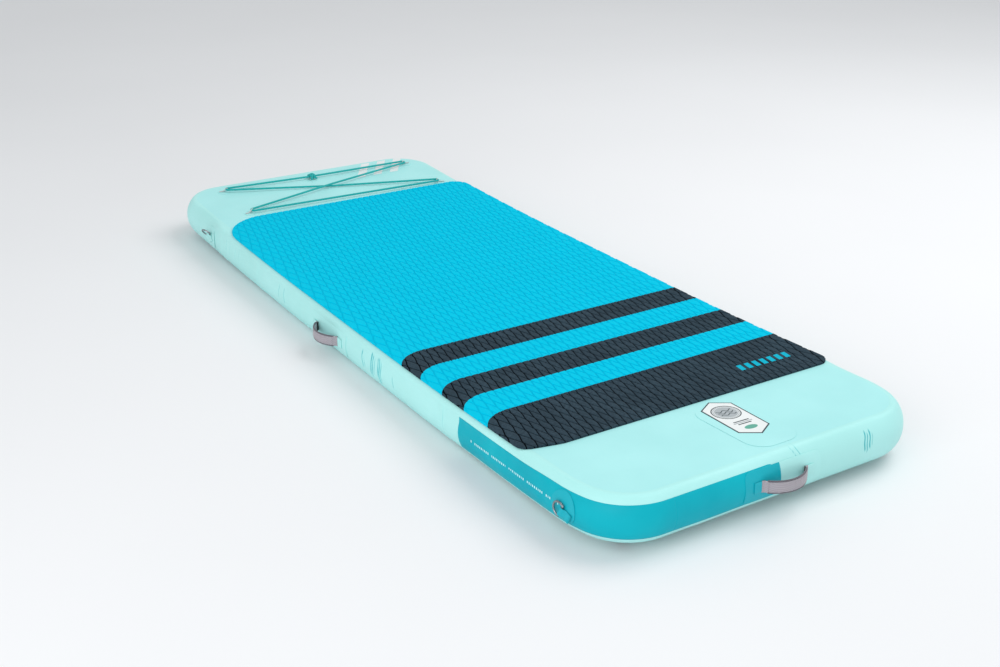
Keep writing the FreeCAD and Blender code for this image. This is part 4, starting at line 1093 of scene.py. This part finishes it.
def make_bungee():
    """The crossed cord: out from the knot, round each anchor and back to the knot."""
    place = {name: lift([[x, y, CORD_HEIGHT]])[0] for name, (x, y) in ANCHORS.items()}
    start, finish = KNOT + [0.009, 0, 0], KNOT - [0.009, 0, 0]
    crossing = lift([[0.024, 0.944, CORD_HEIGHT]])[0]
    bend, eye = 0.006, 0.0025
    loops = []

    def round_anchor(name, before, after):
        outward = unit(place[name] - (before + after) / 2)
        side = unit(np.cross([0, 0, 1.0], outward))
        if (before - place[name]) @ side < 0:
            side = -side
        loops.append((place[name], outward, side))
        reach = place[name] + outward * bend
        return [reach + side * (bend + eye), reach - side * (bend + eye)]

    hop = np.array([0, 0, 0.0037])
    route = [start, *round_anchor("front_right", start, place["rear_left"]), crossing + hop,
             *round_anchor("rear_left", place["front_right"], place["rear_right"]),
             *round_anchor("rear_right", place["rear_left"], place["front_left"]),
             crossing - hop, *round_anchor("front_left", place["rear_right"], finish), finish]
    crossings = (3, 8)
    dense = [start]
    for k in range(1, len(route) - 1):
        radius = 0.4 if k in crossings else bend * 0.97
        dense += corner_points(route[k], route[k - 1], route[k + 1], radius)
    dense = np.array(dense + [finish])
    length = distances(dense)
    even = np.linspace(0, length[-1], int(length[-1] / 0.0012))
    cord = braided("bungee_cord_braided",
                   np.stack([np.interp(even, length, dense[:, i]) for i in range(3)], -1), 0.003)
    paint(cord, "cord")
    finish_piece(cord, "hull", "cord_teal", "bungee_cord")

    path = [(0.022, -0.0074), (0.008, -0.0066)]
    path += [(-0.0042 * math.cos(a), 0.0042 * math.sin(a)) for a in
             np.radians(np.linspace(-100, 80, 9))]
    path += [(0.006, -0.0018), (0.012, -0.0056), (0.022, -0.0062)]
    tabs = []
    for point, outward, side in loops:
        centre = [point + outward * (bend + a) + np.array([0, 0, b]) for a, b in path]
        tabs.append(strip("tab", centre, side, 0.0050, 0.0010, 3))
    anchors = join("bungee_anchor_webbing", tabs)
    paint(anchors, "white_web")
    finish_piece(anchors, "hull", "webbing_white", "bungee_anchor_loops")


RINGS = {
    "rear_left": ((-0.432605, -0.993590, 0.062939), (0.0536, -0.4588, 0.8869), -1),
    "rear_right": ((0.432605, -0.993590, 0.062939), (0.0536, 0.4588, -0.8869), 1),
    "front_left": ((-0.434600, 0.839415, 0.074614), (0, -0.9071, 0.4208), -1),
    "front_right": ((0.434600, 0.839415, 0.074614), (0, 0.9071, -0.4208), 1),
}


def make_ring_tabs():
    """Webbing folded round each ring's bar and sewn down on its patch."""
    tabs, threads = [], []
    for name, (bar, axis, side) in RINGS.items():
        bar, axis = np.array(bar), unit(np.array(axis, float))
        out = np.array([side, 0.0, 0.0])
        out = unit(out - axis * (out @ axis))
        down = np.cross(axis, out)
        middle = lift([[bar[0], bar[1], HALF_THICK]])[0][2]
        high = bar[2] - middle

        def follow(d):
            """How far the rail falls away at a distance along the tab."""
            return ((high + down[2] * d) ** 2 - high ** 2) / (2 * RAIL_RADIUS)

        path = [(d, -0.0047 - follow(d)) for d in (0.025, 0.018, 0.011, 0.006)]
        path += [(-0.0032 * math.cos(a), 0.0032 * math.sin(a)) for a in
                 np.radians(np.linspace(-80, 80, 9))]
        path += [(0.0035, 0.0016), (0.0065, -0.0016)]
        path += [(d, -0.0033 - follow(d)) for d in (0.0095, 0.014, 0.019, 0.0245)]
        tabs.append(strip("tab", [bar + down * d + out * n for d, n in path], axis,
                          0.0225, 0.0013))
        points = [bar + down * d + out * (-0.0025 - follow(d)) + axis * w
                  for d in (0.0125, 0.0225) for w in np.linspace(-0.0085, 0.0085, 7)]
        threads.append(stitches("tab_stitch", points, [axis] * len(points), [out] * len(points),
                                0.0020, 0.0003))
    webbing = join("ring_tab_webbing", tabs)
    paint(webbing, "patch")
    finish_piece(webbing, "hull", "webbing_black", "ring_tabs")
    sewing = join("ring_tab_stitching", threads)
    paint(sewing, "patch")
    finish_piece(sewing, "hull", "webbing_white")


make_bungee()
make_ring_tabs()


def make_knot():
    size = 0.0033
    # an overhand knot: the cord comes in from one side, wraps over itself and leaves on the other
    path = [(-0.0105, 0, 0), (-0.006, 0.0005, 0.0005), (-0.001, 0.0035, 0.0028),
            (0.0045, 0.0052, 0.0012), (0.0065, 0.001, -0.0024), (0.002, -0.0045, -0.0030),
            (-0.0040, -0.0050, 0.0010), (-0.0050, 0.0005, 0.0046), (0.0005, 0.0020, 0.0050),
            (0.0045, -0.0015, 0.0035), (0.0060, -0.0010, 0.0008), (0.0105, 0, 0)]
    main = tube("knot_main", np.array(path) * 1.3 + KNOT, size)
    loop = [(-0.002, -0.002, 0.002), (-0.006, 0.004, 0.0035), (-0.007, 0.011, 0.0005),
            (-0.002, 0.015, -0.003), (0.004, 0.012, -0.004), (0.004, 0.004, -0.001),
            (0.001, -0.002, 0.003)]
    bow = tube("knot_bow", np.array(loop) * 1.15 + KNOT, size * 0.95)
    tails = []
    for points in ([(0.001, 0.001, 0.004), (-0.002, -0.006, 0.0035), (-0.006, -0.012, -0.001),
                    (-0.010, -0.018, -0.0048)],
                   [(0.002, 0.0, 0.003), (0.004, -0.006, 0.002), (0.007, -0.011, -0.003),
                    (0.012, -0.014, -0.0052)]):
        tails.append(tube("knot_tail", np.array(points) + KNOT, size * 0.95, 60))
    knot = join("bungee_knot_tied", [main, bow] + tails)
    paint(knot, "cord")
    finish_piece(knot, "hull", "cord_teal", "bungee_knot")


make_knot()


def make_under_loops():
    """Webbing loops sewn to round patches, under the tail's corners."""
    straps, discs, threads = [], [], []
    for side in (-1, 1):
        x, y = side * 0.345, -1.072
        way = unit(lift([[x, y + 0.001, 0]])[0] - lift([[x, y, 0]])[0])
        path = [(0.0064 * math.cos(a), -0.0010 - 0.0064 * math.sin(a))
                for a in np.linspace(math.pi - 0.35, 0.35, 17)]
        foot = [(0.0125, -0.0017), (0.0095, -0.0017), (0.0076, -0.0020)]
        path = [(-u, w) for u, w in foot] + path + foot[::-1]
        centre = lift([[x + u, y, w] for u, w in path])
        straps.append(strip("loop", centre, way, 0.0240, 0.0012, 7))
        rows = [[lift([[x + radius * math.cos(a), y + radius * math.sin(a), height]])[0]
                 for a in turns(48)]
                for radius, height in ((0.0002, 0.0), (0.0180, 0.0), (0.0180, -0.0006),
                                       (0.0172, -0.0010), (0.0002, -0.0010))]
        discs.append(grid_object("disc", np.array(rows), False, True, caps=True))
        points = [lift([[x + u, y + v, -0.0023]])[0]
                  for u in (-0.0112, 0.0112) for v in np.linspace(-0.009, 0.009, 7)]
        threads.append(stitches("loop_stitch", points, [way] * len(points),
                                [[0, 0, -1.0]] * len(points), 0.0020, 0.0003))
    for name, parts, key, slot, nodes in (
            ("under_loop_webbing", straps, "black_web", "webbing_black",
             ("underside_anchor_loops",)),
            ("under_loop_patches", discs, "patch", "pvc_mint", ()),
            ("under_loop_stitching", threads, "thread", "webbing_white", ())):
        item = join(name, parts)
        paint(item, key)
        finish_piece(item, "hull", slot, *nodes)


make_under_loops()


# ------------------------------------------------------------------ label and prints

def flat_shape(name, outline, low, high, key, slot="label_print", nodes=()):
    """A thin plate on the deck from an outline in flat-board x, y, between two heights above it."""
    bottom, top = (lift([(x, y, THICK + height) for x, y in outline]) for height in (low, high))
    item = plate(name, bottom, top)
    paint(item, key)
    finish_piece(item, "hull", slot, *nodes)


def around(centre, radius, count=48):
    return [(centre[0] + radius * math.cos(a), centre[1] + radius * math.sin(a))
            for a in turns(count)]


def ring_shape(name, centre, outer, inner, low, high, key):
    """A flat ring plate on the deck."""
    count = 64
    rows = []
    for radius, height in ((outer, low), (outer, high), (inner, high), (inner, low)):
        rows.append([(x, y, THICK + height) for x, y in around(centre, radius, count)])
    grid = lift(np.array(rows).transpose(1, 0, 2))
    item = grid_object(name, grid, True, True)
    flat_shaded(item)
    paint(item, key)
    finish_piece(item, "hull", "label_print")


LABEL = (0.0335, -0.9575)
LABEL_TURN = math.radians(-2.1)


def on_label(points):
    cos, sin = math.cos(LABEL_TURN), math.sin(LABEL_TURN)
    return [(LABEL[0] + x * cos - y * sin, LABEL[1] + x * sin + y * cos) for x, y in points]


def hexagon(inset):
    half, reach, shoulder = 0.041 - inset, 0.0875 - inset * 1.1, 0.0615 - inset * 0.5
    return [(0, reach), (-half, shoulder), (-half, -shoulder), (0, -reach), (half, -shoulder),
            (half, shoulder)]


def make_label():
    base = 0.00095
    flat_shape("label_edge", on_label(hexagon(0)), base - 0.0003, base + 0.0001, "print_dark",
               nodes=("label",))
    flat_shape("label_field", on_label(hexagon(0.0032)), base, base + 0.0002, "print_white")
    centre = on_label([(0.0, 0.0285)])[0]
    flat_shape("label_disc", around(centre, 0.0285), base + 0.0002, base + 0.0003, "print_grey")
    ring_shape("label_ring", centre, 0.0325, 0.0300, base + 0.0002, base + 0.00035, "print_dark")
    ring_shape("label_ring_inner", centre, 0.0262, 0.0252, base + 0.0003, base + 0.0004,
               "print_white")
    # a generic wave motif
    for index, level in enumerate((-0.009, 0.0, 0.009)):
        xs = np.linspace(-0.019, 0.019, 24)
        wave = [(x, 0.0285 + level + 0.0028 * math.sin(x * 330 + index)) for x in xs]
        shape = wave + [(x, y - 0.0026) for x, y in wave[::-1]]
        flat_shape("label_wave_%d" % index, on_label(shape), base + 0.0003, base + 0.0004,
                   "print_dark")
    for index, (y, half) in enumerate(((-0.020, 0.020), (-0.0262, 0.024), (-0.0324, 0.017))):
        bar = [(-half, y - 0.0017), (half, y - 0.0017), (half, y + 0.0017), (-half, y + 0.0017)]
        flat_shape("label_bar_%d" % index, on_label(bar), base + 0.0002, base + 0.0003,
                   "print_grey" if index == 1 else "print_dark")
    oval = [(0.016 * math.cos(a), -0.052 + 0.0085 * math.sin(a)) for a in turns(28)]
    flat_shape("label_mark", on_label(oval), base + 0.0002, base + 0.0003, "print_green")


make_label()


def make_prints():
    """Plain printed shapes where the board has graphics."""
    for index, start in enumerate((0.135, 0.195, 0.255)):
        shape = [(start, 0.992), (start + 0.030, 0.992), (start + 0.104, 1.108),
                 (start + 0.074, 1.108)]
        flat_shape("nose_print_%d" % index, shape, 0.0, 0.0001, "print_white", slot="pvc_white")
    for index in range(7):
        start = 0.205 + index * 0.0225
        shape = [(start, -0.789), (start + 0.013, -0.789), (start + 0.018, -0.762),
                 (start + 0.005, -0.762)]
        flat_shape("pad_print_%d" % index, shape, PAD_THICK - 0.0002, PAD_THICK + 0.0002,
                   "print_cyan", slot="foam_cyan")


make_prints()


def make_band_dashes():
    """A fine row of light dashes along the band."""
    parts = []
    lengths = [0.0034, 0.0034, 0.0016, 0.0034, 0.0028, 0.0034, 0.0016, 0.0030]
    x, y, z = -HALF_WIDTH - 0.0008, -0.660, HALF_THICK + 0.001
    index = 0
    while y > -0.985:
        length = lengths[index % len(lengths)]
        front = np.array([[x, y, z], [x, y - length, z], [x, y - length, z + 0.0050],
                          [x, y, z + 0.0050]])
        parts.append(plate("dash", lift(front), lift(front + [0.0004, 0, 0])))
        y -= length + (0.0036 if index % 9 else 0.012)
        index += 1
    dashes = join("band_dashes", parts)
    paint(dashes, "print_pale")
    finish_piece(dashes, "hull", "pvc_white")


make_band_dashes()

# ------------------------------------------------------------------ carried-over nodes

CARRIED = {
    "inner_side_wall": "under", "drop_stitch_yarns": "yarn", "handle_patches": "patch",
    "ring_patches": "patch", "label_backing": "deck",
    "bungee_anchor_patches": "deck", "rear_left_ring": "steel", "rear_right_ring": "steel",
    "front_left_ring": "steel", "front_right_ring": "steel", "valve_body": "valve",
    "valve_nut": "valve", "valve_poppet": "valve", "valve_seal": "rubber",
    "valve_spring": "steel", "valve_cap": "cap", "valve_cap_tether": "rubber",
}

for node, key in CARRIED.items():
    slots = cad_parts[node].data.materials
    if not slots:
        slots.append(None)
    for index in range(len(slots)):
        slots[index] = M[key].mat

# ------------------------------------------------------------------ floor, light and camera


def studio():
    size = 26.0
    floor = new_object("studio_floor", [(-size, -size, -0.0008), (size, -size, -0.0008),
                                        (size, size, -0.0008), (-size, size, -0.0008)],
                       [[0, 1, 2, 3]], smooth=False)
    shader = Shader("floor_paper", rgb(240, 241, 243), 0.85, specular=0.2)
    shader.color(shader.mix(shader.range(shader.noise(0.6, 3), 0.3, 0.7, 0, 1),
                            rgb(241, 242, 244), rgb(238, 239, 241)))
    floor.data.materials.append(shader.mat)

    def area(name, place, target, size_x, size_y, power):
        light = bpy.data.lights.new(name, "AREA")
        light.shape = "RECTANGLE"
        light.size, light.size_y = size_x, size_y
        light.energy = power
        item = add(name, light)
        item.location = place
        way = Vector(target) - Vector(place)
        item.rotation_euler = way.to_track_quat("-Z", "Y").to_euler()

    area("key", (2.8, -1.0, 3.9), (0.2, -0.2, 0), 3.2, 3.2, 99)
    area("fill_left", (-3.6, -2.4, 1.7), (0, -0.2, 0.1), 3.5, 2.2, 68)
    world = bpy.data.worlds.new("studio_world")
    world.use_nodes = True
    background = world.node_tree.nodes["Background"]
    background.inputs["Color"].default_value = (*rgb(240, 242, 243), 1)
    background.inputs["Strength"].default_value = 0.72
    bpy.context.scene.world = world


studio()

camera_data = bpy.data.cameras.new("camera")
camera_data.lens = 47.28
camera_data.sensor_width = 36.0
camera_data.clip_end = 100
camera = add("camera", camera_data)
YAW, PITCH, ROLL = math.radians(32.428), math.radians(23.575), math.radians(0.256)
camera.matrix_world = (Matrix.Translation((-1.6839, -2.7468, 1.3690))
                       @ Matrix.Rotation(-YAW, 4, "Z")
                       @ Matrix.Rotation(math.pi / 2 - PITCH, 4, "X")
                       @ Matrix.Rotation(ROLL, 4, "Z"))
bpy.context.scene.camera = camera
bpy.context.scene.view_settings.view_transform = "Standard"
bpy.context.scene.view_settings.look = "None"

bpy.context.view_layer.update()
